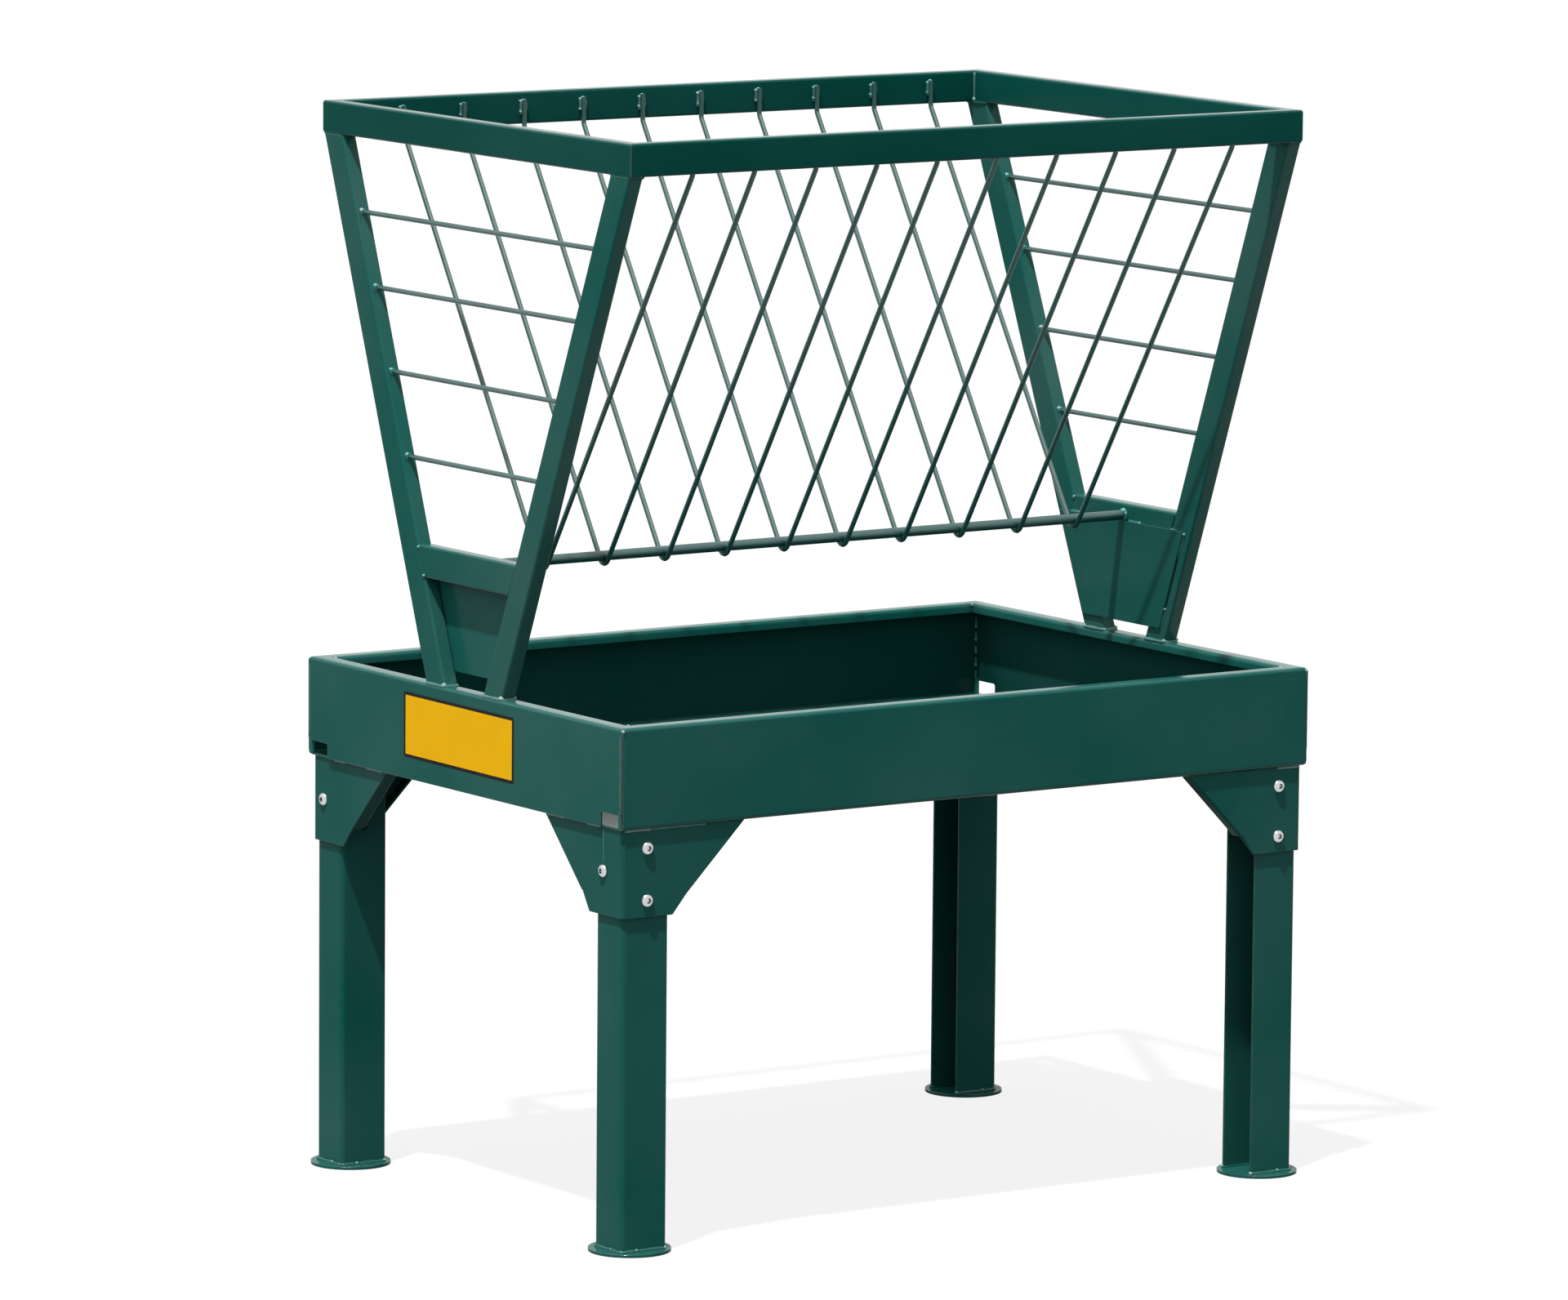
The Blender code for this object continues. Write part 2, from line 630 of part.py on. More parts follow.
def make_baffle(end, side, material):
    """A plate on the inner faces of the posts, between the bottom rod and the tray's rim."""
    bottom = RIM_HEIGHT + BAFFLE_RIM_GAP
    top = BOTTOM_ROD_HEIGHT - BOTTOM_ROD_DIAMETER / 2 - BAFFLE_ROD_GAP
    rings = []
    for depth in (FIT_GAP, FIT_GAP + BAFFLE_SHEET):
        corners = [(-post_outer_y(level) + BAFFLE_FRONT_INSET, level) for level in (bottom, top)]
        corners += [(post_outer_y(level) - BAFFLE_BACK_INSET, level) for level in (top, bottom)]
        inward = Vector((-side * (TUBE_EDGE / 2 + depth) * math.hypot(1, FLARE_SLOPE), 0, 0))
        rings.append([end_frame_point(side, y, level) + inward for y, level in corners])
    add_object(f"baffle_plate_{end}", mesh_of(f"baffle_plate_{end}", loft(rings)), material)


def make_bottom_rod(material):
    height = BOTTOM_ROD_HEIGHT
    inset = (TUBE_EDGE / 2 + FIT_GAP) * math.hypot(1, FLARE_SLOPE)
    ends = [Vector((side * (post_middle_x(height) - inset), 0, height)) for side in (-1, 1)]
    normals = [end_frame_normal(side) for side in (-1, 1)]
    mesh = bar_mesh("bottom_rod", BOTTOM_ROD_DIAMETER, BOTTOM_ROD_SIDES, ends, Y_AXIS, normals)
    add_object("bottom_rod", mesh, material)


def v_rod_path():
    """Points and directions along a V rod in the Y-Z plane, down from one top and up to the other."""
    radius = V_ROD_DIAMETER / 2
    top_y = RACK_WIDTH / 2 - TUBE_EDGE - FIT_GAP - radius
    wrap = BOTTOM_ROD_DIAMETER / 2 + radius + FIT_GAP
    across = top_y - V_ROD_BEND_RADIUS
    drop = RAIL_UNDERSIDE - BOTTOM_ROD_HEIGHT
    slope = math.acos((wrap - V_ROD_BEND_RADIUS) / math.hypot(across, drop)) - math.atan2(drop, across)
    bend_centre = Vector((-across, RAIL_UNDERSIDE))
    wrap_centre = Vector((0, BOTTOM_ROD_HEIGHT))
    half = [(Vector((-top_y, RACK_HEIGHT - V_ROD_TOP_DROP)), Vector((0, -1)))]
    for centre, bend, first, last, steps in (
        (bend_centre, V_ROD_BEND_RADIUS, 0, slope, V_BEND_STEPS),
        (wrap_centre, wrap, slope, math.pi / 2, WRAP_STEPS // 2),
    ):
        for step in range(steps + 1):
            angle = first + (last - first) * step / steps
            heading = Vector((math.sin(angle), -math.cos(angle)))
            half.append((centre - left_of(heading) * bend, heading))
    mirrored = [(Vector((-point.x, point.y)), Vector((head.x, -head.y))) for point, head in half[-2::-1]]
    return half + mirrored


def make_v_rods(material):
    rings = []
    for point, heading in v_rod_path():
        side = left_of(heading)
        rings.append([
            Vector((across, point.x + side.x * out, point.y + side.y * out))
            for across, out in circle(V_ROD_DIAMETER / 2, ROD_SIDES)
        ])
    mesh = mesh_of("v_rod", loft(rings))
    rail_face = RACK_LENGTH / 2 - TUBE_EDGE
    first = V_ROD_LEFT_GAP - rail_face
    pitch = (rail_face - V_ROD_RIGHT_GAP - first) / (V_ROD_COUNT - 1)
    for index in range(V_ROD_COUNT):
        place = Matrix.Translation((first + index * pitch, 0, 0))
        add_object(f"v_rod_{index + 1:02d}", mesh, material, matrix=place)


def main():
    clear_scene()
    tray_paint = paint("tray_paint", (0.028, 0.098, 0.085), 0.32)
    frame_paint = paint("frame_paint", (0.026, 0.092, 0.080), 0.32)
    rod_paint = paint("rod_paint", (0.024, 0.088, 0.076), 0.30)
    leg_paint = paint("leg_paint", (0.024, 0.086, 0.076), 0.34)
    zinc = paint("bolt_zinc", (0.62, 0.63, 0.64), 0.30, 1.0)
    make_tray_pan(tray_paint)
    make_tray_ends(tray_paint)
    make_brackets(leg_paint)
    make_legs(leg_paint)
    make_feet(leg_paint)
    make_bolts(zinc)
    make_top_frame(frame_paint)
    for end, side in ENDS:
        make_end_frame(end, side, frame_paint, rod_paint, tray_paint)
    make_bottom_rod(rod_paint)
    make_v_rods(rod_paint)


main()
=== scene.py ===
"""Looks of the square bale feeder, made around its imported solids. Metres, +Z up, -Y the front."""

import json
import math
import random

import bmesh
import bpy
from mathutils import Matrix, Vector

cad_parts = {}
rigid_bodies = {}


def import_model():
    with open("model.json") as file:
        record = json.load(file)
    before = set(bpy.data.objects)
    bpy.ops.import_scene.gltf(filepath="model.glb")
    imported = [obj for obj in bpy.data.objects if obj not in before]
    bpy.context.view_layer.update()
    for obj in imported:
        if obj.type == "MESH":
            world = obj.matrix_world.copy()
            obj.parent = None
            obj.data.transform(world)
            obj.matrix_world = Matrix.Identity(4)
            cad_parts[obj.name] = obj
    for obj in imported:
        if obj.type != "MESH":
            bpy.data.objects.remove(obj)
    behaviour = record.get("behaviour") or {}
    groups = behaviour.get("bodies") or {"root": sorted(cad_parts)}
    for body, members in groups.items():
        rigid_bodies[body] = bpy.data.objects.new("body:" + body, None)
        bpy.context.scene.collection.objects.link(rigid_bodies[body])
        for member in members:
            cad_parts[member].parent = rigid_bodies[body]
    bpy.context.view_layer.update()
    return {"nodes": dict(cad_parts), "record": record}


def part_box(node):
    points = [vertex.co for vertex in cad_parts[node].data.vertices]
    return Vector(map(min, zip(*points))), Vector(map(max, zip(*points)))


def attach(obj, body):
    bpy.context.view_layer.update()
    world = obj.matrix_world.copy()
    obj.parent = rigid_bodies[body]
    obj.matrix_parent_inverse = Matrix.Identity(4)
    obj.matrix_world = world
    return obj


# Camera: where it looks, from which side in degrees, and how its lens is set
CAMERA_TARGET = Vector((0.0, -0.00629, 0.7992))
CAMERA_AZIMUTH = -33.969
CAMERA_ELEVATION = 8.0565
CAMERA_ROLL = 0.4766
CAMERA_DISTANCE = 15.522
CAMERA_OFFSET = (-0.040886, 0.029454)
CAMERA_LENS = 226.36
CAMERA_SENSOR = 36.0
CAMERA_REACH = 300.0

# Light: one lamp like a high sun behind thin cloud, and a sky that is brighter on the left
KEY_TRAVEL = Vector((0.303, 0.169, -0.938))
KEY_STRENGTH = 3.6
KEY_ANGLE = 1.6
SKY_LEFT = 0.88
SKY_RIGHT = 0.375
WHITE = (1, 1, 1, 1)

# Floor: for each kind of ray, its grey and the share of it that isn't an even white glow
FLOOR_SIZE = 160.0
FLOOR_SEEN = (0.80, 0.16)
FLOOR_MIRRORED = (0.60, 0.8)
FLOOR_BOUNCED = (0.10, 1.0)

# Finishes, as linear colours
TRAY_GREEN = (0.0125, 0.104, 0.0900)
FRAME_GREEN = (0.0040, 0.074, 0.0630)
END_FRAME_GREEN = (0.0200, 0.108, 0.0930)
ROD_GREEN = (0.0060, 0.066, 0.0590)
LEG_GREEN = (0.0120, 0.100, 0.0860)
# Weld beads in a paler green than the enamel round them: painted highlight, for the light their lumps catch
WELD_HIGHLIGHT_GREEN = (0.050, 0.190, 0.168)
# Tacks in a paler green still: a painted glint
TACK_GLINT_GREEN = (0.220, 0.420, 0.390)
# A near-black green for painted shade: the crevices down the tray's corners and the tray's inside
PAINTED_SHADE_GREEN = (0.003, 0.018, 0.016)
# Paler paint on rounded edges of legs and feet: worn paint and painted highlight
PALE_EDGE_PAINT = (0.20, 0.27, 0.25)
ZINC = (0.66, 0.67, 0.68)
RECESS_SHADE_BLACK = (0.02, 0.02, 0.02)
LABEL_YELLOW = (0.94, 0.50, 0.0)
LABEL_EDGE = (0.010, 0.008, 0.007)

# Noise in the enamel: how fine it is, and the values at which it starts to show and shows in full
DRIFT_DETAIL = 3.0
FINE_DETAIL = 2.0
WAVE_DETAIL = 1.5
CLOUD_SCALE = 3.1
CLOUD_SPAN = (0.36, 0.64)
DEEP_TONE = (0.45, 0.93, 0.91)
MILKY_TONE = (1.60, 1.07, 1.08)
SPECK_SCALE = 190.0
SPECK_SPAN = (0.66, 0.80)
SPECK_SHARE = 0.35
SPECK_TONE = 1.7
PATCH_SCALE = 46.0
PATCH_SPAN = (0.42, 0.62)
BLOTCH_SCALE = 9.0
GLOSS_SPAN = (0.3, 0.7)
PEEL_SCALE = 420.0
PEEL_HEIGHT = 0.00003
PEEL_STRENGTH = 0.7
WAVE_SCALE = 7.0
WAVE_HEIGHT = 0.0005
WAVE_STRENGTH = 0.35

# Edges and slopes in the enamel. A bend is the cosine between the flat and the rounded normal, and a
# slope is how far the flat normal points up or down.
EDGE_ROUNDING = 0.0019
EDGE_SAMPLES = 4
FLAT_BEND = 0.995
SHINY_BEND = 0.85
PALE_EDGE_BEND = 0.80
SLOPE_SPAN = (0.25, 0.36)
GLOSS_BELOW = 0.04
GLOSS_ABOVE = 0.05
RAIL_BLEND = 0.002

# Looks of the enamels, in the words of the function that makes them
# In TRAY_LOOK, inside is the share of painted shade on the tray's floor and inner walls
TRAY_LOOK = {"sky": 0.15, "inside": 0.45}
FRAME_LOOK = {"shine": 0.015, "sky": 0.13, "below": END_FRAME_GREEN}
# wear_and_sheen pales the legs' and feet's edges: worn paint and painted highlight
LEG_LOOK = {"sky": 0.03, "wear_and_sheen": 0.45, "rim": 0.15}
FOOT_LOOK = {"sky": 0.03, "wear_and_sheen": 0.8}
WELD_LOOK = {"gloss": 0.20, "shine": 0.5, "sky": 0.5}
FOOT_WELD_LOOK = {"gloss": 0.2, "shine": 0.35, "sky": 0.35}
# EDGE_HIGHLIGHT_TONE lightens the tray paint for the painted highlight on the tray's corners and drain
# notch
EDGE_HIGHLIGHT_TONE = 1.25
ROD_GLOSS = (0.38, 0.46)
ROD_SHINE = (0.45, 1.0)
ROD_SLOPE = (0.0, 0.36)
ROD_IOR = 1.62

# Zinc on the bolts, with painted shade in their recesses
GRAIN_SCALE = 900.0
GRAIN_HEIGHT = 0.00002
GRAIN_STRENGTH = 0.5
ZINC_SHADE = 0.88
ZINC_GLOSS = (0.22, 0.36)
RECESS_REACH = 0.004
RECESS_SAMPLES = 8
RECESS_SPAN = (0.35, 0.8)

# Film of the label
FADING_SCALE = 14.0
FADED = 0.94
FRESH = 1.04
FILM_SCALE = 90.0
FILM_HEIGHT = 0.00004
FILM_STRENGTH = 0.5
FILM_GLOSS = (0.30, 0.42)
FILM_SHINE = 0.05

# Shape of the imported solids, as their looks need it
SMOOTH_BELOW = math.radians(35)
MERGE_DISTANCE = 0.00001
OUTLINE_DIGITS = 6
TRAY_SHEET = 0.003
RIM_WIDTH = 0.0315
RIM_LIP = 0.015
LEG_BEND = 0.0055
END_ROD_COUNT = 4
V_ROD_COUNT = 10
END_MARGIN = 0.001
FACE_MARGIN = 0.0015

# Weld beads: how they ripple and swell along their length, and how their tips taper
BEAD_SIDES = 8
RIPPLE_PITCH = 0.0022
RIPPLE_POINTS = 3
RIPPLE_DEPTH = 0.10
SWELL_PITCH = 0.0061
SWELL_DEPTH = 0.13
SWELL_RANGE = 6.0
TIP_LENGTH = 1.6
TIP_LEAST = 0.04
LEAST_STEPS = 3
NO_LENGTH = 1e-9

# Tacks, and flat strips that stand just proud of a face
TACK_SIZE = 0.0042
SMALL_TACK = 0.0031
TACK_SUBDIVISIONS = 2
TACK_WIDTH = (0.75, 0.95)
TACK_HEIGHT = (0.7, 0.9)
STRIP_STEP = 0.006
STRIP_TAPER = 5
STRIP_PROUD = 0.00025
JOINT_WIDTH = 0.0070

# Welds of the end frames and the top frame. A turn is how far a tack lies round to one side.
POST_BEAD = 0.0028
POST_TACK_LIFT = 0.002
POST_TACK_TURN = 0.6
RAIL_BEAD = 0.0026
CROSS_BEAD = 0.0018
END_ROD_BEAD = 0.0018
END_ROD_TACK_TURN = -0.8
CORNER_BEAD = 0.0024
CORNER_MARGIN = 0.002
CORNER_TACK_LIFT = 0.002
CORNER_TACK_DROP = 0.004
MITRE_SHARES = (0.06, 0.94)
SEAM_RADIUS = 0.0009
SEAM_SINK = 0.0010

# Welds of the V rods and the bottom rod. Each stitch at a rod's top has the side that it lies on, its
# start under the top and its length.
ROD_TOP_STITCHES = ((-1, 0.001, 0.021), (1, 0.003, 0.013))
ROD_STITCH_SPREAD = (-0.002, 0.003)
ROD_TOP_BEAD = 0.0025
ROD_TOP_MARGIN = 0.001
ROD_TOP_INSET = 0.0014
ROD_TOP_TACKS = (0.001, 0.017)
ROD_TACK_SPREAD = (0, 0.002)
BESIDE_ROD = 1.15
TACK_BESIDE_ROD = 1.25
ROD_FOOT_BEAD = 0.0020
ROD_FOOT_MARGIN = 0.0008
ROD_FOOT_START = -130
ROD_FOOT_SWEEP = 80
ROD_FOOT_STEPS = 6
BOTTOM_ROD_BEAD = 0.0034
BOTTOM_ROD_INSET = 0.001
BOTTOM_ROD_TACK = 0.0052
BOTTOM_ROD_TACK_INSET = 3
BOTTOM_ROD_TACK_TURN = -0.5

# Welds of the baffles: start, stop and drop of those along the top, and shares of the front edge
BAFFLE_BEAD = 0.0026
BAFFLE_STITCHES = ((-0.0130, -0.0440, 0.0), (-0.1280, -0.1640, 0.0050), (0.1450, 0.1200, 0.0))
BAFFLE_EDGE_STITCHES = ((0.03, 0.28), (0.80, 1.0))
BAFFLE_EDGE_TACK = 0.80
BAFFLE_EDGE_LIFT = 0.0012

# Welds of the tray: its stitched inner corners, and the tacks and seams at its rim's mitres
TRAY_BEAD = 0.0026
TRAY_STITCH_TOP = 0.012
TRAY_STITCH_FOOT = 0.040
TRAY_STITCH = (0.010, 0.016)
TRAY_STITCH_GAP = (0.008, 0.012)
RIM_TACK = 0.0033
RIM_TACK_INSET = (0.003, 0.001)
RIM_TACK_DROP = 0.0045
INNER_TACK_DROP = 0.002
RIM_SEAM_START = 0.006
RIM_SEAM_MARGIN = 0.001

# Seams down the tray's outer corners: a dark strip of painted shade in the crevice, a pale strip of painted
# highlight on the filled edge, and the drain notch in that pale tone
SEAM_TOP = 0.012
CREVICE_WIDTH = 0.0024
CREVICE_INSET = 0.0006
CREVICE_FOOT = 0.003
EDGE_SEAM_SHARE = 1.6
EDGE_SEAM_INSET = 0.0045
EDGE_SEAM_FOOT = 0.033
NOTCH_BEAD = 0.0046
NOTCH_INSET = (0.0035, 0.0062)
NOTCH_LEVELS = (0.002, 0.029)
NOTCH_STEP = 0.003

# Welds of the leg brackets: start, stop and size along the front, and start and stop along the side
BRACKET_BEAD = 0.0022
BRACKET_MARGIN = 0.0008
FRONT_STITCHES = {-1: ((0.004, 0.050, 1.2), (0.046, 0.150, 0.6)), 1: ((0.006, 0.048, 1.1),)}
SIDE_STITCHES = ((0.062, 0.094), (0.160, 0.204))
PAINT_RUN = 0.0010
PAINT_RUN_SINK = 0.0004
PAINT_RUN_Y = -0.3953
PAINT_RUN_DROP = 0.002
PAINT_RUN_FOOT = 0.600

# Welds of the feet, outside and inside the legs' channels
LEG_BEAD = 0.0030
LEG_BEAD_LIFT = 0.0008
WEB_BEAD_SHARE = 0.8
WEB_BEAD_INSET = 0.006
WEB_BEAD_MARGIN = 0.008
FLANGE_BEAD_SHARE = 0.6
FLANGE_BEAD_INSET = 0.005
FOOT_TACK_LIFT = 0.0012
FRONT_TACK_SHARE = 0.30
WEB_TACK_SHARE = 0.35

# Label on the left end panel: along Y and up from the ground
LABEL_Y = (-0.1509, 0.1671)
LABEL_Z = (0.6866, 0.7891)
LABEL_TURN = 0.0058
LABEL_BACK = 0.00005
LABEL_THICKNESS = 0.0003
LABEL_BORDER = 0.0050
LABEL_CORNER = 0.0025
LABEL_INNER_CORNER = 0.4
LABEL_CORNER_STEPS = 4

CORNERS = {
    "front_left": (-1, -1),
    "front_right": (1, -1),
    "back_left": (-1, 1),
    "back_right": (1, 1),
}
ENDS = {"left": -1, "right": 1}
SIDES = {"front": -1, "back": 1}
ACROSS = Vector((1, 0, 0))
ALONG = Vector((0, 1, 0))
UP = Vector((0, 0, 1))


def add_node(tree, kind, **values):
    """A shader node. Values whose names are sockets are set or linked, and the rest are properties."""
    node = tree.nodes.new(kind)
    for key, value in values.items():
        if key not in node.inputs:
            setattr(node, key, value)
    feed(tree, node, {key: value for key, value in values.items() if key in node.inputs})
    return node


def feed(tree, node, values):
    """Sets or links a node's sockets by their names, or by their places in the list."""
    for key, value in values.items():
        if isinstance(value, bpy.types.NodeSocket):
            tree.links.new(value, node.inputs[key])
        else:
            node.inputs[key].default_value = value


def new_material(name):
    """A material with its node tree, its shader and the place on the object."""
    material = bpy.data.materials.new(name)
    material.use_nodes = True
    tree = material.node_tree
    place = add_node(tree, "ShaderNodeTexCoord").outputs["Object"]
    return material, tree, tree.nodes["Principled BSDF"], place


def noise(tree, place, scale, detail=FINE_DETAIL):
    """A number that wanders between about 0 and 1."""
    node = add_node(tree, "ShaderNodeTexNoise", Vector=place, Scale=scale, Detail=detail)
    return node.outputs["Fac"]


def remap(tree, value, span, results):
    """A number that goes from one result to the other while the value crosses the span."""
    node = add_node(tree, "ShaderNodeMapRange", Value=value)
    feed(tree, node, {"From Min": span[0], "From Max": span[1], "To Min": results[0], "To Max": results[1]})
    return node.outputs["Result"]


def calculated(tree, operation, *values):
    """The outcome of one step of arithmetic on numbers or sockets."""
    node = add_node(tree, "ShaderNodeMath", operation=operation)
    feed(tree, node, dict(enumerate(values)))
    return node.outputs["Value"]


def mixed(tree, factor, first, second):
    """A blend of two colours."""
    node = tree.nodes.new("ShaderNodeMix")
    node.data_type = "RGBA"
    for socket, value in (("Factor_Float", factor), ("A_Color", first), ("B_Color", second)):
        place = next(item for item in node.inputs if item.identifier == socket)
        if isinstance(value, bpy.types.NodeSocket):
            tree.links.new(value, place)
        else:
            place.default_value = value if socket == "Factor_Float" else (*value, 1.0)
    return next(item for item in node.outputs if item.identifier == "Result_Color")


def height_of(tree, vector):
    """The Z of a place or a direction."""
    return add_node(tree, "ShaderNodeSeparateXYZ", Vector=vector).outputs["Z"]


def scaled(colour, factor):
    """A colour times a number."""
    return tuple(channel * factor for channel in colour)


def bumped(tree, height, distance, strength, normal=None):
    """A normal that leans as a surface of this height would."""
    node = add_node(tree, "ShaderNodeBump", Height=height, Distance=distance, Strength=strength)
    if normal is not None:
        tree.links.new(normal, node.inputs["Normal"])
    return node.outputs["Normal"]


def cloudy(tree, clouds, colour):
    """A colour that drifts between a deep and a milky tone of itself."""
    deep = tuple(channel * tone for channel, tone in zip(colour, DEEP_TONE))
    milky = tuple(channel * tone for channel, tone in zip(colour, MILKY_TONE))
    return mixed(tree, remap(tree, clouds, CLOUD_SPAN, (0.0, 1.0)), deep, milky)


def speckled(tree, place, tint, colour):
    """A tint with fine specks in a paler tone of the colour."""
    share = remap(tree, noise(tree, place, SPECK_SCALE), SPECK_SPAN, (0.0, SPECK_SHARE))
    return mixed(tree, share, tint, scaled(colour, SPECK_TONE))


def blotchy(tree, place, low, high):
    """A roughness that drifts between two values."""
    return remap(tree, noise(tree, place, BLOTCH_SCALE, DRIFT_DETAIL), GLOSS_SPAN, (low, high))


def orange_peel(tree, place, normal=None):
    """The fine uneven skin of sprayed enamel."""
    return bumped(tree, noise(tree, place, PEEL_SCALE), PEEL_HEIGHT, PEEL_STRENGTH, normal)


def tray_faces():
    """The tray's box, and how far its end faces and its long faces stand from the middle."""
    low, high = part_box("tray_end_left")
    return low, high, -low.x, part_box("tray_pan")[1].y


def painted_shade_inside_tray(tree, place):
    """Where shade is painted: 1 on the tray's floor and inner walls, below the lip of its rim, and 0
    elsewhere.
    """
    low, high, end_face, side_face = tray_faces()
    skin = TRAY_SHEET / 2
    levels = (low.z + skin, high.z - RIM_LIP)
    reaches = {
        "X": (0.0, end_face - skin),
        "Y": (0.0, side_face - skin),
        "Z": (sum(levels) / 2, (levels[1] - levels[0]) / 2),
    }
    spot = add_node(tree, "ShaderNodeSeparateXYZ", Vector=place)
    mask = 1.0
    for axis, (middle, reach) in reaches.items():
        offset = calculated(tree, "SUBTRACT", spot.outputs[axis], middle)
        within = calculated(tree, "LESS_THAN", calculated(tree, "ABSOLUTE", offset), reach)
        mask = calculated(tree, "MULTIPLY", within, mask)
    return mask


def enamel(
    name,
    colour,
    gloss=0.17,
    shine=0.03,
    sky=0.05,
    rim=1.0,
    wear_and_sheen=0.0,
    rounding=EDGE_ROUNDING,
    below=None,
    inside=0.0,
):
    """Sprayed enamel: cloudy colour, specks, orange peel, and a wet gloss on rounded edges.

    gloss is about the roughness. shine, sky and rim are the specular levels of upright faces, of faces
    that look up or down, and of edges. wear_and_sheen is the share of a paler tone in patches on edges,
    which is worn paint and painted highlight, below the colour under the top rails, and inside the share
    of painted shade, a darker tone, inside the tray.
    """
    material, tree, shader, place = new_material(name)
    flat = add_node(tree, "ShaderNodeNewGeometry").outputs["Normal"]
    soft = add_node(tree, "ShaderNodeBevel", samples=EDGE_SAMPLES, Radius=rounding).outputs["Normal"]
    turning = add_node(tree, "ShaderNodeVectorMath", operation="DOT_PRODUCT")
    feed(tree, turning, {0: soft, 1: flat})
    bend = turning.outputs["Value"]
    clouds = noise(tree, place, CLOUD_SCALE, DRIFT_DETAIL)
    tint = cloudy(tree, clouds, colour)
    if below:
        post_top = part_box("post_left_front")[1].z
        blend = (post_top - RAIL_BLEND, post_top + RAIL_BLEND)
        over = remap(tree, height_of(tree, place), blend, (0.0, 1.0))
        tint = mixed(tree, over, cloudy(tree, clouds, below), tint)
    tint = speckled(tree, place, tint, colour)
    # Worn paint and painted highlight: a paler tone in patches on rounded edges
    if wear_and_sheen:
        pale_edge_share = remap(tree, bend, (FLAT_BEND, PALE_EDGE_BEND), (0.0, wear_and_sheen))
        patchy = remap(tree, noise(tree, place, PATCH_SCALE, DRIFT_DETAIL), PATCH_SPAN, (0.0, 1.0))
        tint = mixed(tree, calculated(tree, "MULTIPLY", pale_edge_share, patchy), tint, PALE_EDGE_PAINT)
    # Painted shade: a darker tone on the tray's floor and inner walls, where the light is dimmer
    if inside:
        thin = calculated(tree, "MULTIPLY", painted_shade_inside_tray(tree, place), inside)
        tint = mixed(tree, thin, tint, PAINTED_SHADE_GREEN)
    peel = orange_peel(tree, place, soft)
    waves = noise(tree, place, WAVE_SCALE, WAVE_DETAIL)
    tilt = calculated(tree, "ABSOLUTE", height_of(tree, flat))
    faces = remap(tree, tilt, SLOPE_SPAN, (shine, sky))
    edges = remap(tree, bend, (FLAT_BEND, SHINY_BEND), (0.0, rim))
    look = {
        "Base Color": tint,
        "Roughness": blotchy(tree, place, gloss - GLOSS_BELOW, gloss + GLOSS_ABOVE),
        "Normal": bumped(tree, waves, WAVE_HEIGHT, WAVE_STRENGTH, peel),
        "Specular IOR Level": calculated(tree, "MAXIMUM", faces, edges),
    }
    feed(tree, shader, look)
    return material


def rod_enamel(name, colour):
    """Enamel on the drawn rods: cloudy colour and a broad satin shine, stronger on their upper sides."""
    material, tree, shader, place = new_material(name)
    normal = add_node(tree, "ShaderNodeNewGeometry").outputs["Normal"]
    tint = cloudy(tree, noise(tree, place, CLOUD_SCALE, DRIFT_DETAIL), colour)
    look = {
        "Base Color": speckled(tree, place, tint, colour),
        "Roughness": blotchy(tree, place, *ROD_GLOSS),
        "Normal": orange_peel(tree, place),
        "Specular IOR Level": remap(tree, height_of(tree, normal), ROD_SLOPE, ROD_SHINE),
        "IOR": ROD_IOR,
    }
    feed(tree, shader, look)
    return material


def zinc(name):
    """Zinc plated steel: brushed bright metal with a faint grain, and painted shade that darkens its
    recesses.
    """
    material, tree, shader, place = new_material(name)
    grain = noise(tree, place, GRAIN_SCALE)
    # Painted shade: ambient occlusion darkens the sockets and the nooks round the heads
    hollow = add_node(tree, "ShaderNodeAmbientOcclusion", samples=RECESS_SAMPLES, Distance=RECESS_REACH)
    depth = remap(tree, hollow.outputs["AO"], RECESS_SPAN, (1.0, 0.0))
    metal = mixed(tree, grain, scaled(ZINC, ZINC_SHADE), ZINC)
    look = {
        "Base Color": mixed(tree, depth, metal, RECESS_SHADE_BLACK),
        "Roughness": remap(tree, grain, GLOSS_SPAN, ZINC_GLOSS),
        "Normal": bumped(tree, grain, GRAIN_HEIGHT, GRAIN_STRENGTH),
        "Metallic": 1.0,
    }
    feed(tree, shader, look)
    return material


def label_film(name, colour):
    """Vinyl film, a little faded in places."""
    material, tree, shader, place = new_material(name)
    fading = noise(tree, place, FADING_SCALE, DRIFT_DETAIL)
    look = {
        "Base Color": mixed(tree, fading, scaled(colour, FADED), scaled(colour, FRESH)),
        "Roughness": remap(tree, fading, GLOSS_SPAN, FILM_GLOSS),
        "Normal": bumped(tree, noise(tree, place, FILM_SCALE), FILM_HEIGHT, FILM_STRENGTH),
        "Specular IOR Level": FILM_SHINE,
    }
    feed(tree, shader, look)
    return material


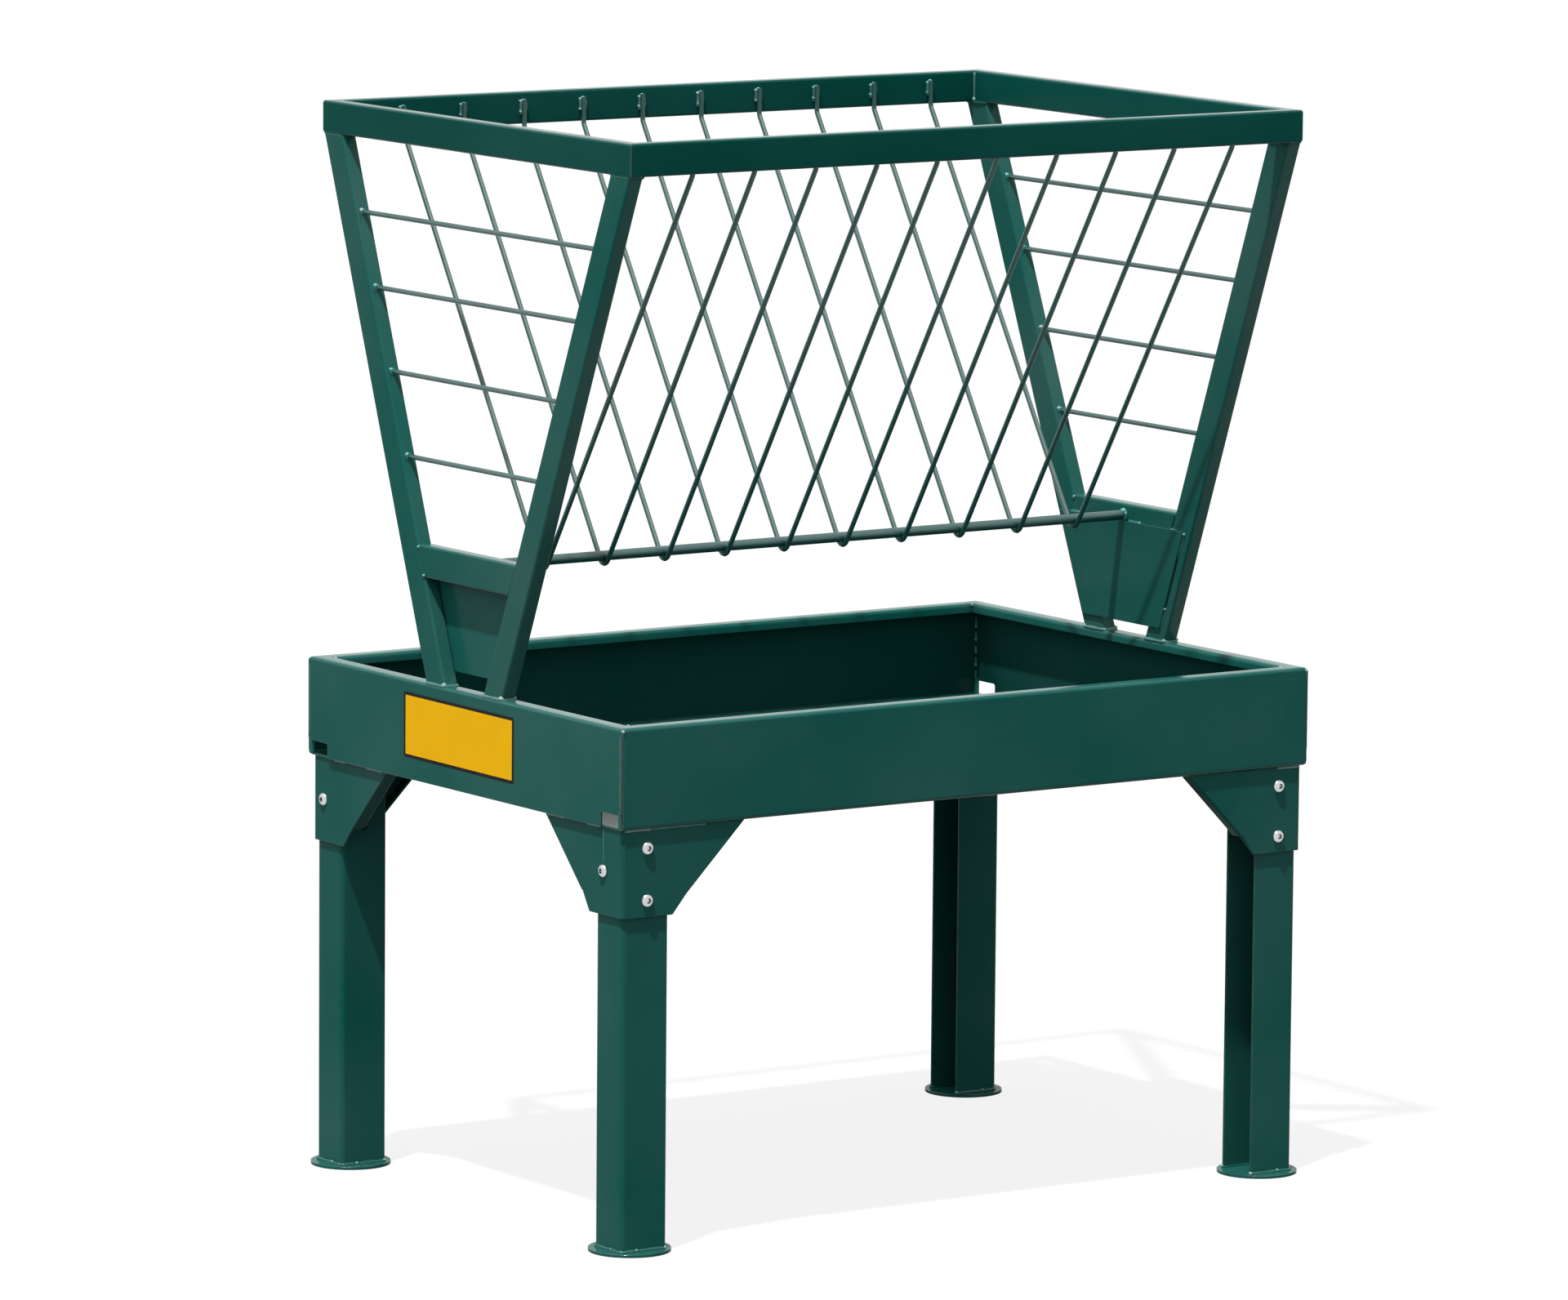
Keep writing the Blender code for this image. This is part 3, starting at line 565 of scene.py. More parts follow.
def smoothing_group():
    """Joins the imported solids' loose triangles and shades them smooth up to an angle."""
    group = bpy.data.node_groups.new("merge_and_smooth", "GeometryNodeTree")
    group.interface.new_socket("Geometry", in_out="INPUT", socket_type="NodeSocketGeometry")
    group.interface.new_socket("Geometry", in_out="OUTPUT", socket_type="NodeSocketGeometry")
    start = group.nodes.new("NodeGroupInput")
    end = group.nodes.new("NodeGroupOutput")
    plain = add_node(group, "GeometryNodeRemoveAttribute", Name="custom_normal")
    merge = add_node(group, "GeometryNodeMergeByDistance", Distance=MERGE_DISTANCE)
    faces = group.nodes.new("GeometryNodeSetShadeSmooth")
    edges = add_node(group, "GeometryNodeSetShadeSmooth", domain="EDGE")
    angle = group.nodes.new("GeometryNodeInputMeshEdgeAngle")
    below = add_node(group, "FunctionNodeCompare", data_type="FLOAT", operation="LESS_THAN")
    below.inputs["B"].default_value = SMOOTH_BELOW
    chain = [start, plain, merge, faces, edges, end]
    for before, after in zip(chain, chain[1:]):
        group.links.new(before.outputs[0], after.inputs[0])
    group.links.new(angle.outputs["Unsigned Angle"], below.inputs["A"])
    group.links.new(below.outputs["Result"], edges.inputs["Shade Smooth"])
    return group


def dress_nodes(frame, materials):
    """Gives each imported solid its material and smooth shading. Foot plates have a look of their own."""
    group = smoothing_group()
    for part in frame["record"]["subparts"]:
        item = frame["nodes"][part["node"]]
        look = "foot_paint" if part["node"].startswith("foot_plate") else part["material_slot"]
        item.material_slots[0].material = materials[look]
        smooth = item.modifiers.new("merge_and_smooth", "NODES")
        smooth.node_group = group
        weighted = item.modifiers.new("flat_faces", "WEIGHTED_NORMAL")
        weighted.keep_sharp = True


def raised(place, height):
    """A place, moved up."""
    return place + Vector((0, 0, height))


def hull(points, across, up):
    """The points on the outer outline of a flat set, in order round it."""
    places = {}
    for point in points:
        place = (round(point.dot(across), OUTLINE_DIGITS), round(point.dot(up), OUTLINE_DIGITS))
        places[place] = point
    flat = sorted(places.items())

    def turn(first, second, third):
        """Above 0 where the way through three points turns to the left."""
        (ax, ay), (bx, by), (cx, cy) = first[0], second[0], third[0]
        return (bx - ax) * (cy - ay) - (by - ay) * (cx - ax)

    def half(run):
        """One half of the outline, from one end of the run to the other."""
        chain = []
        for item in run:
            while len(chain) > 1 and turn(chain[-2], chain[-1], item) <= 0:
                chain.pop()
            chain.append(item)
        return chain[:-1]

    return [item[1] for item in half(flat) + half(flat[::-1])]


def end_outline(frame, node, keep, across, up):
    """The outer outline of a bar's end: those of its points that the test keeps."""
    points = [vertex.co.copy() for vertex in frame["nodes"][node].data.vertices if keep(vertex.co)]
    return hull(points, across, up)


def farthest(outline, x=0, y=0, z=0):
    """The point of an outline that lies farthest out in a direction."""
    return max(outline, key=lambda co: x * co.x + y * co.y + z * co.z)


def split_outline(outline, side):
    """An outline's points on the face that looks outward, and its open stretch over the others."""
    outer = max(side * co.x for co in outline)
    outward = [side * co.x > outer - FACE_MARGIN for co in outline]
    start = next(index for index in range(len(outline)) if outward[index - 1] and not outward[index])
    order = [(start + step) % len(outline) for step in range(len(outline))]
    face = [outline[index] for index in order if outward[index]]
    return face, [outline[index] for index in order if not outward[index]]


def resampled(path, step, closed=False):
    """Evenly spaced points along a path, and its length."""
    points = list(path) + ([path[0]] if closed else [])
    lengths = [(b - a).length for a, b in zip(points, points[1:])]
    total = sum(lengths)
    count = max(LEAST_STEPS, round(total / step))
    wanted = [total * index / count for index in range(count + (not closed))]
    result = []
    run = 0.0
    index = 0
    for target in wanted:
        while index < len(lengths) - 1 and run + lengths[index] < target:
            run += lengths[index]
            index += 1
        share = (target - run) / max(lengths[index], NO_LENGTH)
        result.append(points[index].lerp(points[index + 1], min(share, 1.0)))
    return result, total


def sweep(builder, path, radii, closed=False):
    """A round skin along a path, with its own radius at each point."""
    sides = BEAD_SIDES
    count = len(path)
    rings = []
    side = None
    for index, point in enumerate(path):
        before = path[index - 1] if index or closed else point
        after = path[(index + 1) % count] if index + 1 < count or closed else point
        run = (after - before).normalized()
        if side is None:
            side = run.orthogonal().normalized()
        side = (side - run * side.dot(run)).normalized()
        other = run.cross(side)
        ring = []
        for step in range(sides):
            angle = 2 * math.pi * step / sides
            spoke = side * math.cos(angle) + other * math.sin(angle)
            ring.append(builder.verts.new(point + spoke * radii[index]))
        rings.append(ring)
    pairs = list(zip(rings, rings[1:]))
    if closed:
        pairs.append((rings[-1], rings[0]))
    for index, (first, second) in enumerate(pairs):
        shift = 0
        if closed and index == len(pairs) - 1:
            shift = min(range(sides), key=lambda turn: (first[0].co - second[turn].co).length)
        for step in range(sides):
            after = (step + 1) % sides
            over = (second[(after + shift) % sides], second[(step + shift) % sides])
            builder.faces.new((first[step], first[after], *over))
    if not closed:
        builder.faces.new(rings[0][::-1])
        builder.faces.new(rings[-1])


def bead(builder, path, radius, dice, closed=False):
    """A weld bead: a rippled round skin whose ends taper to a rounded tip."""
    points, total = resampled(path, RIPPLE_PITCH / RIPPLE_POINTS, closed)
    count = len(points)
    radii = []
    start = dice.uniform(0.0, SWELL_RANGE)
    for index in range(count):
        along = total * index / count
        ripple = RIPPLE_DEPTH * math.sin(2 * math.pi * along / RIPPLE_PITCH)
        swell = SWELL_DEPTH * math.sin(along / SWELL_PITCH + start)
        size = radius * (1 + ripple + swell)
        if not closed:
            from_end = min(along, total - along) / (TIP_LENGTH * radius)
            size *= math.sqrt(max(TIP_LEAST, 1 - (1 - min(1.0, from_end)) ** 2))
        radii.append(size)
    sweep(builder, points, radii, closed)


def seam(builder, ends):
    """A thin round line between two points."""
    sweep(builder, ends, [SEAM_RADIUS] * 2)


def strip(builder, path, width, axis):
    """A flat band along a path on a face, which stands just proud of it along one axis."""
    points = resampled(path, STRIP_STEP)[0]
    radii = [width / 2] * len(points)
    radii[0] = radii[-1] = width / STRIP_TAPER
    first = len(builder.verts)
    sweep(builder, points, radii)
    builder.verts.ensure_lookup_table()
    for index, point in enumerate(points):
        for step in range(BEAD_SIDES):
            vertex = builder.verts[first + index * BEAD_SIDES + step]
            vertex.co[axis] = point[axis] + (vertex.co[axis] - point[axis]) * STRIP_PROUD / (width / 2)


def tack(builder, place, radius, dice):
    """A round lump of weld, a little squashed and turned, in the piece's second material, which for welds
    is a pale green, a painted glint.
    """
    turned = Matrix.Rotation(dice.uniform(0, math.pi), 4, Vector((dice.random(), dice.random(), 1)))
    scale = Matrix.Diagonal((1.0, dice.uniform(*TACK_WIDTH), dice.uniform(*TACK_HEIGHT), 1.0))
    matrix = Matrix.Translation(place) @ turned @ scale
    shape = {"subdivisions": TACK_SUBDIVISIONS, "radius": radius, "matrix": matrix}
    made = bmesh.ops.create_icosphere(builder, **shape)
    for vertex in made["verts"]:
        for face in vertex.link_faces:
            face.material_index = 1


def new_mesh(name, builder):
    """A mesh of what was built."""
    mesh = bpy.data.meshes.new(name)
    builder.to_mesh(mesh)
    builder.free()
    return mesh


def new_object(name, data):
    """An object in the scene."""
    item = bpy.data.objects.new(name, data)
    bpy.context.scene.collection.objects.link(item)
    return item


def add_piece(name, builder, materials):
    """Turns a bmesh into a smooth piece that rides with the feeder."""
    bmesh.ops.recalc_face_normals(builder, faces=builder.faces)
    mesh = new_mesh(name, builder)
    mesh.shade_smooth()
    mesh.set_sharp_from_angle(angle=SMOOTH_BELOW)
    for material in materials:
        mesh.materials.append(material)
    item = new_object(name, mesh)
    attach(item, "root")


def weld_posts(frame, paints, plain):
    """Beads round the posts' feet and three sides of their heads, with the outer side ground flush."""
    dice = random.Random(11)
    for end, side in ENDS.items():
        builder = bmesh.new()
        heads = bmesh.new()
        for name, depth in SIDES.items():
            node = f"post_{end}_{name}"
            low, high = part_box(node)
            foot = end_outline(frame, node, lambda co: co.z < low.z + END_MARGIN, ACROSS, ALONG)
            head = end_outline(frame, node, lambda co: co.z > high.z - END_MARGIN, ACROSS, ALONG)
            bead(builder, foot, POST_BEAD, dice, closed=True)
            face, others = split_outline(head, side)
            bead(heads, others, RAIL_BEAD, dice)
            strip(heads, [face[0], face[-1]], JOINT_WIDTH, 0)
            outer = farthest(foot, x=side, y=-POST_TACK_TURN)
            tack(builder, raised(outer, POST_TACK_LIFT), TACK_SIZE, dice)
            inner = farthest(foot, x=-side, y=POST_TACK_TURN * depth)
            tack(builder, raised(inner, POST_TACK_LIFT), SMALL_TACK, dice)
        add_piece(f"welds_posts_{end}", builder, paints)
        add_piece(f"welds_heads_{end}", heads, [plain])


def weld_end_frames(frame, paints, plain):
    """Beads where cross tubes and end rods meet the posts. The tubes' are ground flush outside."""
    dice = random.Random(12)

    def outline_of(node, sign):
        """The outline of a bar's front or back end."""
        return end_outline(frame, node, lambda co: co.y * sign > 0, ACROSS, UP)

    for end, side in ENDS.items():
        builder = bmesh.new()
        ground = bmesh.new()
        low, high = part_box(f"cross_tube_{end}")
        for sign in (-1, 1):
            outline = outline_of(f"cross_tube_{end}", sign)
            joint = []
            for near_top in (True, False):
                edge = [co for co in outline if (co.z > (low.z + high.z) / 2) == near_top]
                edge.sort(key=lambda co: co.x)
                bead(builder, [edge[0], edge[-1]], CROSS_BEAD, dice)
                if sign > 0:
                    tack(builder, edge[0], SMALL_TACK, dice)
                joint.append(edge[0] if side < 0 else edge[-1])
            strip(ground, joint, JOINT_WIDTH, 0)
        add_piece(f"welds_cross_tube_{end}", builder, paints)
        add_piece(f"ground_welds_{end}", ground, [plain])
        builder = bmesh.new()
        for number in range(1, END_ROD_COUNT + 1):
            for sign in (-1, 1):
                outline = outline_of(f"end_rod_{end}_{number}", sign)
                bead(builder, outline, END_ROD_BEAD, dice, closed=True)
                upper = farthest(outline, x=END_ROD_TACK_TURN, z=1)
                tack(builder, upper, TACK_SIZE if sign > 0 else SMALL_TACK, dice)
        add_piece(f"welds_end_rods_{end}", builder, paints)


def weld_top_frame(paints):
    """Ground seams in the rails' mitres, and a bead down each inner corner."""
    dice = random.Random(13)
    builder = bmesh.new()
    low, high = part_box("top_rail_front")
    edge = high.y - low.y
    reach_x = -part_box("top_rail_left")[0].x
    reach_y = -low.y
    for side_x, side_y in CORNERS.values():
        outer = Vector((side_x * reach_x, side_y * reach_y, 0))
        inner = Vector((side_x * (reach_x - edge), side_y * (reach_y - edge), 0))
        foot, head = raised(inner, low.z + CORNER_MARGIN), raised(inner, high.z - CORNER_MARGIN)
        bead(builder, [foot, head], CORNER_BEAD, dice)
        for level in (high.z - SEAM_SINK, low.z + SEAM_SINK):
            seam(builder, [raised(inner.lerp(outer, share), level) for share in MITRE_SHARES])
        tack(builder, raised(foot, CORNER_TACK_LIFT), TACK_SIZE, dice)
        tack(builder, raised(head, -CORNER_TACK_DROP), SMALL_TACK, dice)
    add_piece("welds_top_frame", builder, paints)


def weld_v_rods(paints):
    """Short beads and tacks round each rod's tops, and beads where the rods meet the bottom rod."""
    dice = random.Random(14)
    builder = bmesh.new()
    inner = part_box("top_rail_back")[0].y
    rod_low, rod_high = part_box("bottom_rod")
    middle = (rod_low.z + rod_high.z) / 2
    reach = (rod_high.z - rod_low.z) / 2 + ROD_FOOT_MARGIN
    for number in range(1, V_ROD_COUNT + 1):
        low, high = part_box(f"v_rod_{number:02d}")
        centre = (low.x + high.x) / 2
        radius = (high.x - low.x) / 2
        top = high.z - ROD_TOP_MARGIN
        for sign in (-1, 1):
            y = sign * (inner - ROD_TOP_INSET)
            for side, start, length in ROD_TOP_STITCHES:
                x = centre + side * radius * BESIDE_ROD
                length += dice.uniform(*ROD_STITCH_SPREAD)
                path = [Vector((x, y, top - start)), Vector((x, y, top - start - length))]
                bead(builder, path, ROD_TOP_BEAD, dice)
            over = [Vector((centre + side * radius, y, top)) for side in (-1, 1)]
            bead(builder, over, ROD_TOP_BEAD, dice)
            x = centre - radius * TACK_BESIDE_ROD
            for drop in ROD_TOP_TACKS:
                spot = Vector((x, y, top - drop - dice.uniform(*ROD_TACK_SPREAD)))
                tack(builder, spot, SMALL_TACK, dice)
        for side in (-1, 1):
            x = centre + side * radius * BESIDE_ROD
            arc = []
            for step in range(ROD_FOOT_STEPS + 1):
                angle = math.radians(ROD_FOOT_START + ROD_FOOT_SWEEP * step / ROD_FOOT_STEPS)
                arc.append(Vector((x, reach * math.cos(angle), middle + reach * math.sin(angle))))
            bead(builder, arc, ROD_FOOT_BEAD, dice)
    add_piece("welds_v_rods", builder, paints)


def weld_bottom_rod(frame, paints):
    """A bead and a large tack where each end of the bottom rod meets a baffle."""
    dice = random.Random(15)
    builder = bmesh.new()
    for sign in (-1, 1):
        outline = end_outline(frame, "bottom_rod", lambda co: co.x * sign > 0, ALONG, UP)
        inward = Vector((-sign * BOTTOM_ROD_INSET, 0, 0))
        bead(builder, [point + inward for point in outline], BOTTOM_ROD_BEAD, dice, closed=True)
        upper = farthest(outline, y=BOTTOM_ROD_TACK_TURN, z=1)
        tack(builder, upper + inward * BOTTOM_ROD_TACK_INSET, BOTTOM_ROD_TACK, dice)
    add_piece("welds_bottom_rod", builder, paints)


def weld_baffles(frame, paints):
    """Stitches along the top and front edges of each baffle plate, on the side of the rack."""
    dice = random.Random(16)
    for end, side in ENDS.items():
        builder = bmesh.new()
        corners = end_outline(frame, f"baffle_plate_{end}", lambda co: True, ALONG, UP)
        low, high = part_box(f"baffle_plate_{end}")
        middle = (low.z + high.z) / 2

        def corner(upper):
            """The plate's front corner on its inner face, at its top or at its foot."""
            level = [co for co in corners if (co.z > middle) == upper]
            x = min(side * co.x for co in level)
            front = min(level, key=lambda co: co.y)
            return Vector((side * x, front.y, front.z))

        top, foot = corner(True), corner(False)
        for start, stop, drop in BAFFLE_STITCHES:
            path = [Vector((top.x, start, top.z)), Vector((top.x, stop, top.z - drop))]
            bead(builder, path, BAFFLE_BEAD, dice)
            tack(builder, path[1], SMALL_TACK, dice)
        lift = Vector((side * BAFFLE_EDGE_LIFT, 0, 0))
        for shares in BAFFLE_EDGE_STITCHES:
            bead(builder, [top.lerp(foot, share) + lift for share in shares], BAFFLE_BEAD, dice)
        tack(builder, top.lerp(foot, BAFFLE_EDGE_TACK), SMALL_TACK, dice)
        add_piece(f"welds_baffle_{end}", builder, paints)


def weld_tray(paints):
    """Stitches down the tray's inner corners, and tacks and a seam at each mitre of its rim."""
    dice = random.Random(17)
    builder = bmesh.new()
    low, high, end_face, side_face = tray_faces()
    for side_x, side_y in CORNERS.values():

        def inward(inset_x, inset_y, z):
            """A point set in from the tray's outer corner."""
            return Vector((side_x * (end_face - inset_x), side_y * (side_face - inset_y), z))

        corner = inward(TRAY_SHEET, TRAY_SHEET, 0)
        level = high.z - RIM_LIP - TRAY_STITCH_TOP
        while level > low.z + TRAY_STITCH_FOOT:
            stop = level - dice.uniform(*TRAY_STITCH)
            ends = [raised(corner, level), raised(corner, stop)]
            bead(builder, ends, TRAY_BEAD, dice)
            tack(builder, ends[1], SMALL_TACK, dice)
            level = stop - dice.uniform(*TRAY_STITCH_GAP)
        tack(builder, inward(*RIM_TACK_INSET, high.z - RIM_TACK_DROP), RIM_TACK, dice)
        tack(builder, inward(RIM_WIDTH, RIM_WIDTH, high.z - INNER_TACK_DROP), SMALL_TACK, dice)
        insets = (RIM_SEAM_START, RIM_WIDTH - RIM_SEAM_MARGIN)
        seam(builder, [inward(inset, inset, high.z - SEAM_SINK) for inset in insets])
    add_piece("welds_tray", builder, paints)


def corner_seams(dark, pale):
    """Joints down the outer corners: a dark strip of painted shade in the crevice on the long wall,
    and a pale strip of painted highlight on the filled edge of the end and in its notch.
    """
    crevice = bmesh.new()
    edge = bmesh.new()
    low, high, end_face, side_face = tray_faces()
    for side_x, side_y in CORNERS.values():
        place = Vector((side_x * (end_face - CREVICE_INSET - CREVICE_WIDTH / 2), side_y * side_face, 0))
        path = [raised(place, low.z + CREVICE_FOOT), raised(place, high.z - SEAM_TOP)]
        strip(crevice, path, CREVICE_WIDTH, 1)
        place = Vector((side_x * end_face, side_y * (side_face - EDGE_SEAM_INSET), 0))
        path = [raised(place, low.z + EDGE_SEAM_FOOT), raised(place, high.z - SEAM_TOP)]
        strip(edge, path, CREVICE_WIDTH * EDGE_SEAM_SHARE, 0)
        inset_x, inset_y = NOTCH_INSET
        place = Vector((side_x * (end_face - inset_x), side_y * (side_face - inset_y), 0))
        points = resampled([raised(place, low.z + level) for level in NOTCH_LEVELS], NOTCH_STEP)[0]
        sweep(edge, points, [NOTCH_BEAD] * len(points))
    add_piece("crevice_shades_tray", crevice, [dark])
    add_piece("edge_highlights_tray", edge, [pale])


def weld_brackets(paints):
    """Beads in the nook over the wings of each leg bracket, and a run of paint on one of them."""
    dice = random.Random(18)
    for corner, (side_x, side_y) in CORNERS.items():
        builder = bmesh.new()
        low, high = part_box(f"leg_bracket_{corner}")
        face_x = high.x if side_x > 0 else low.x
        face_y = high.y if side_y > 0 else low.y
        top = high.z - BRACKET_MARGIN
        for start, stop, size in FRONT_STITCHES[side_x]:
            path = [Vector((face_x - side_x * reach, face_y, top)) for reach in (start, stop)]
            bead(builder, path, BRACKET_BEAD * size, dice)
        for reaches in SIDE_STITCHES:
            path = [Vector((face_x, face_y - side_y * reach, top)) for reach in reaches]
            bead(builder, path, BRACKET_BEAD, dice)
            tack(builder, path[1], SMALL_TACK, dice)
        # The run is drawn in the welds' paler green, a painted highlight
        if corner == "front_left":
            levels = (top - PAINT_RUN_DROP, PAINT_RUN_FOOT)
            run = [Vector((face_x + PAINT_RUN_SINK, PAINT_RUN_Y, level)) for level in levels]
            bead(builder, run, PAINT_RUN, dice)
        add_piece(f"welds_bracket_{corner}", builder, paints)


def weld_feet(paints):
    """Beads round the outside and the inside of each leg where it stands on its foot plate."""
    dice = random.Random(19)
    for corner, (side_x, _) in CORNERS.items():
        builder = bmesh.new()
        low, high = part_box(f"leg_{corner}")
        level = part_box(f"foot_plate_{corner}")[1].z + LEG_BEAD_LIFT
        web = high.x if side_x > 0 else low.x
        opening = low.x if side_x > 0 else high.x
        bend_x = web - side_x * LEG_BEND
        path = [
            Vector((opening, low.y, level)),
            Vector((bend_x, low.y, level)),
            Vector((web, low.y + LEG_BEND, level)),
            Vector((web, high.y - LEG_BEND, level)),
            Vector((bend_x, high.y, level)),
            Vector((opening, high.y, level)),
        ]
        bead(builder, path, LEG_BEAD, dice)
        inner_x = web - side_x * WEB_BEAD_INSET
        reaches = (low.y + WEB_BEAD_MARGIN, high.y - WEB_BEAD_MARGIN)
        inside = [Vector((inner_x, y, level)) for y in reaches]
        bead(builder, inside, LEG_BEAD * WEB_BEAD_SHARE, dice)
        for inner_y in (low.y + FLANGE_BEAD_INSET, high.y - FLANGE_BEAD_INSET):
            inside = [Vector((inner_x, inner_y, level)), Vector((opening, inner_y, level))]
            bead(builder, inside, LEG_BEAD * FLANGE_BEAD_SHARE, dice)
        on_front = path[1].lerp(path[0], FRONT_TACK_SHARE)
        on_web = path[2].lerp(path[3], WEB_TACK_SHARE)
        for spot in (path[0], on_front, on_web, path[-1]):
            tack(builder, raised(spot, FOOT_TACK_LIFT), SMALL_TACK, dice)
        add_piece(f"welds_foot_{corner}", builder, paints)


def make_label(paints):
    """A plain film on the left end panel: a coloured field inside a darker border."""
    builder = bmesh.new()
    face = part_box("tray_end_left")[0].x
    middle_y = sum(LABEL_Y) / 2
    middle_z = sum(LABEL_Z) / 2
    half_y = (LABEL_Y[1] - LABEL_Y[0]) / 2
    half_z = (LABEL_Z[1] - LABEL_Z[0]) / 2

    def ring(inset, lift, corner):
        """The points of a rectangle with round corners."""
        points = []
        for quarter, (sy, sz) in enumerate(((1, 1), (-1, 1), (-1, -1), (1, -1))):
            for step in range(LABEL_CORNER_STEPS + 1):
                angle = math.pi / 2 * (quarter + step / LABEL_CORNER_STEPS)
                y = sy * (half_y - inset - corner) + corner * math.cos(angle)
                z = sz * (half_z - inset - corner) + corner * math.sin(angle)
                place = (face - lift, middle_y + y, middle_z + z + LABEL_TURN * y)
                points.append(builder.verts.new(place))
        return points

    rings = [
        ring(0, LABEL_BACK, LABEL_CORNER),
        ring(0, LABEL_THICKNESS, LABEL_CORNER),
        ring(LABEL_BORDER, LABEL_THICKNESS, LABEL_CORNER * LABEL_INNER_CORNER),
    ]
    for first, second in zip(rings, rings[1:]):
        for index, vertex in enumerate(first):
            after = (index + 1) % len(first)
            band = builder.faces.new((vertex, first[after], second[after], second[index]))
            band.material_index = 1
    builder.faces.new(rings[-1])
    back = builder.faces.new(rings[0][::-1])
    back.material_index = 1
    add_piece("label_plate", builder, paints)


def joined(tree, factor, first, second):
    """A blend of two shaders."""
    node = add_node(tree, "ShaderNodeMixShader", Fac=factor)
    feed(tree, node, {1: first, 2: second})
    return node.outputs[0]


def floor_look(tree, grey, share):
    """A share of matt grey in an even white glow."""
    matt = add_node(tree, "ShaderNodeBsdfDiffuse", Color=(grey, grey, grey, 1))
    glow = add_node(tree, "ShaderNodeEmission", Color=WHITE, Strength=1.0)
    return joined(tree, 1 - share, matt.outputs[0], glow.outputs[0])


def make_floor():
    """A pale floor that looks white to the camera and keeps the feeder's shadow."""
    half = FLOOR_SIZE / 2
    builder = bmesh.new()
    corners = ((-half, -half), (half, -half), (half, half), (-half, half))
    builder.faces.new([builder.verts.new((x, y, 0)) for x, y in corners])
    mesh = new_mesh("floor", builder)
    floor = new_object("floor", mesh)
    material = bpy.data.materials.new("floor_white")
    material.use_nodes = True
    tree = material.node_tree
    tree.nodes.clear()
    path = add_node(tree, "ShaderNodeLightPath")
    seen = floor_look(tree, *FLOOR_SEEN)
    mirrored = floor_look(tree, *FLOOR_MIRRORED)
    bounced = floor_look(tree, *FLOOR_BOUNCED)
    reflected = joined(tree, path.outputs["Is Glossy Ray"], bounced, mirrored)
    through = joined(tree, path.outputs["Is Transmission Ray"], reflected, seen)
    surface = joined(tree, path.outputs["Is Camera Ray"], through, seen)
    add_node(tree, "ShaderNodeOutputMaterial", Surface=surface)
    mesh.materials.append(material)


def seen_directly(tree):
    """1 for rays from the camera, a reflection or glass, and 0 for light that bounces."""
    path = add_node(tree, "ShaderNodeLightPath")
    total = path.outputs["Is Camera Ray"]
    for name in ("Is Glossy Ray", "Is Transmission Ray"):
        total = calculated(tree, "MAXIMUM", total, path.outputs[name])
    return total


def make_light():
    """The lamp, and a plain sky that is white where it is seen."""
    lamp = bpy.data.lights.new("key", "SUN")
    lamp.energy = KEY_STRENGTH
    lamp.angle = math.radians(KEY_ANGLE)
    key = new_object("key", lamp)
    key.rotation_euler = KEY_TRAVEL.to_track_quat("-Z", "Y").to_euler()
    world = bpy.data.worlds.new("studio")
    world.use_nodes = True
    bpy.context.scene.world = world
    tree = world.node_tree
    direction = add_node(tree, "ShaderNodeTexCoord").outputs["Generated"]
    across = add_node(tree, "ShaderNodeSeparateXYZ", Vector=direction).outputs["X"]
    sky = remap(tree, across, (-1.0, 1.0), (SKY_LEFT, SKY_RIGHT))
    strength = calculated(tree, "MAXIMUM", sky, seen_directly(tree))
    feed(tree, tree.nodes["Background"], {"Color": WHITE, "Strength": strength})


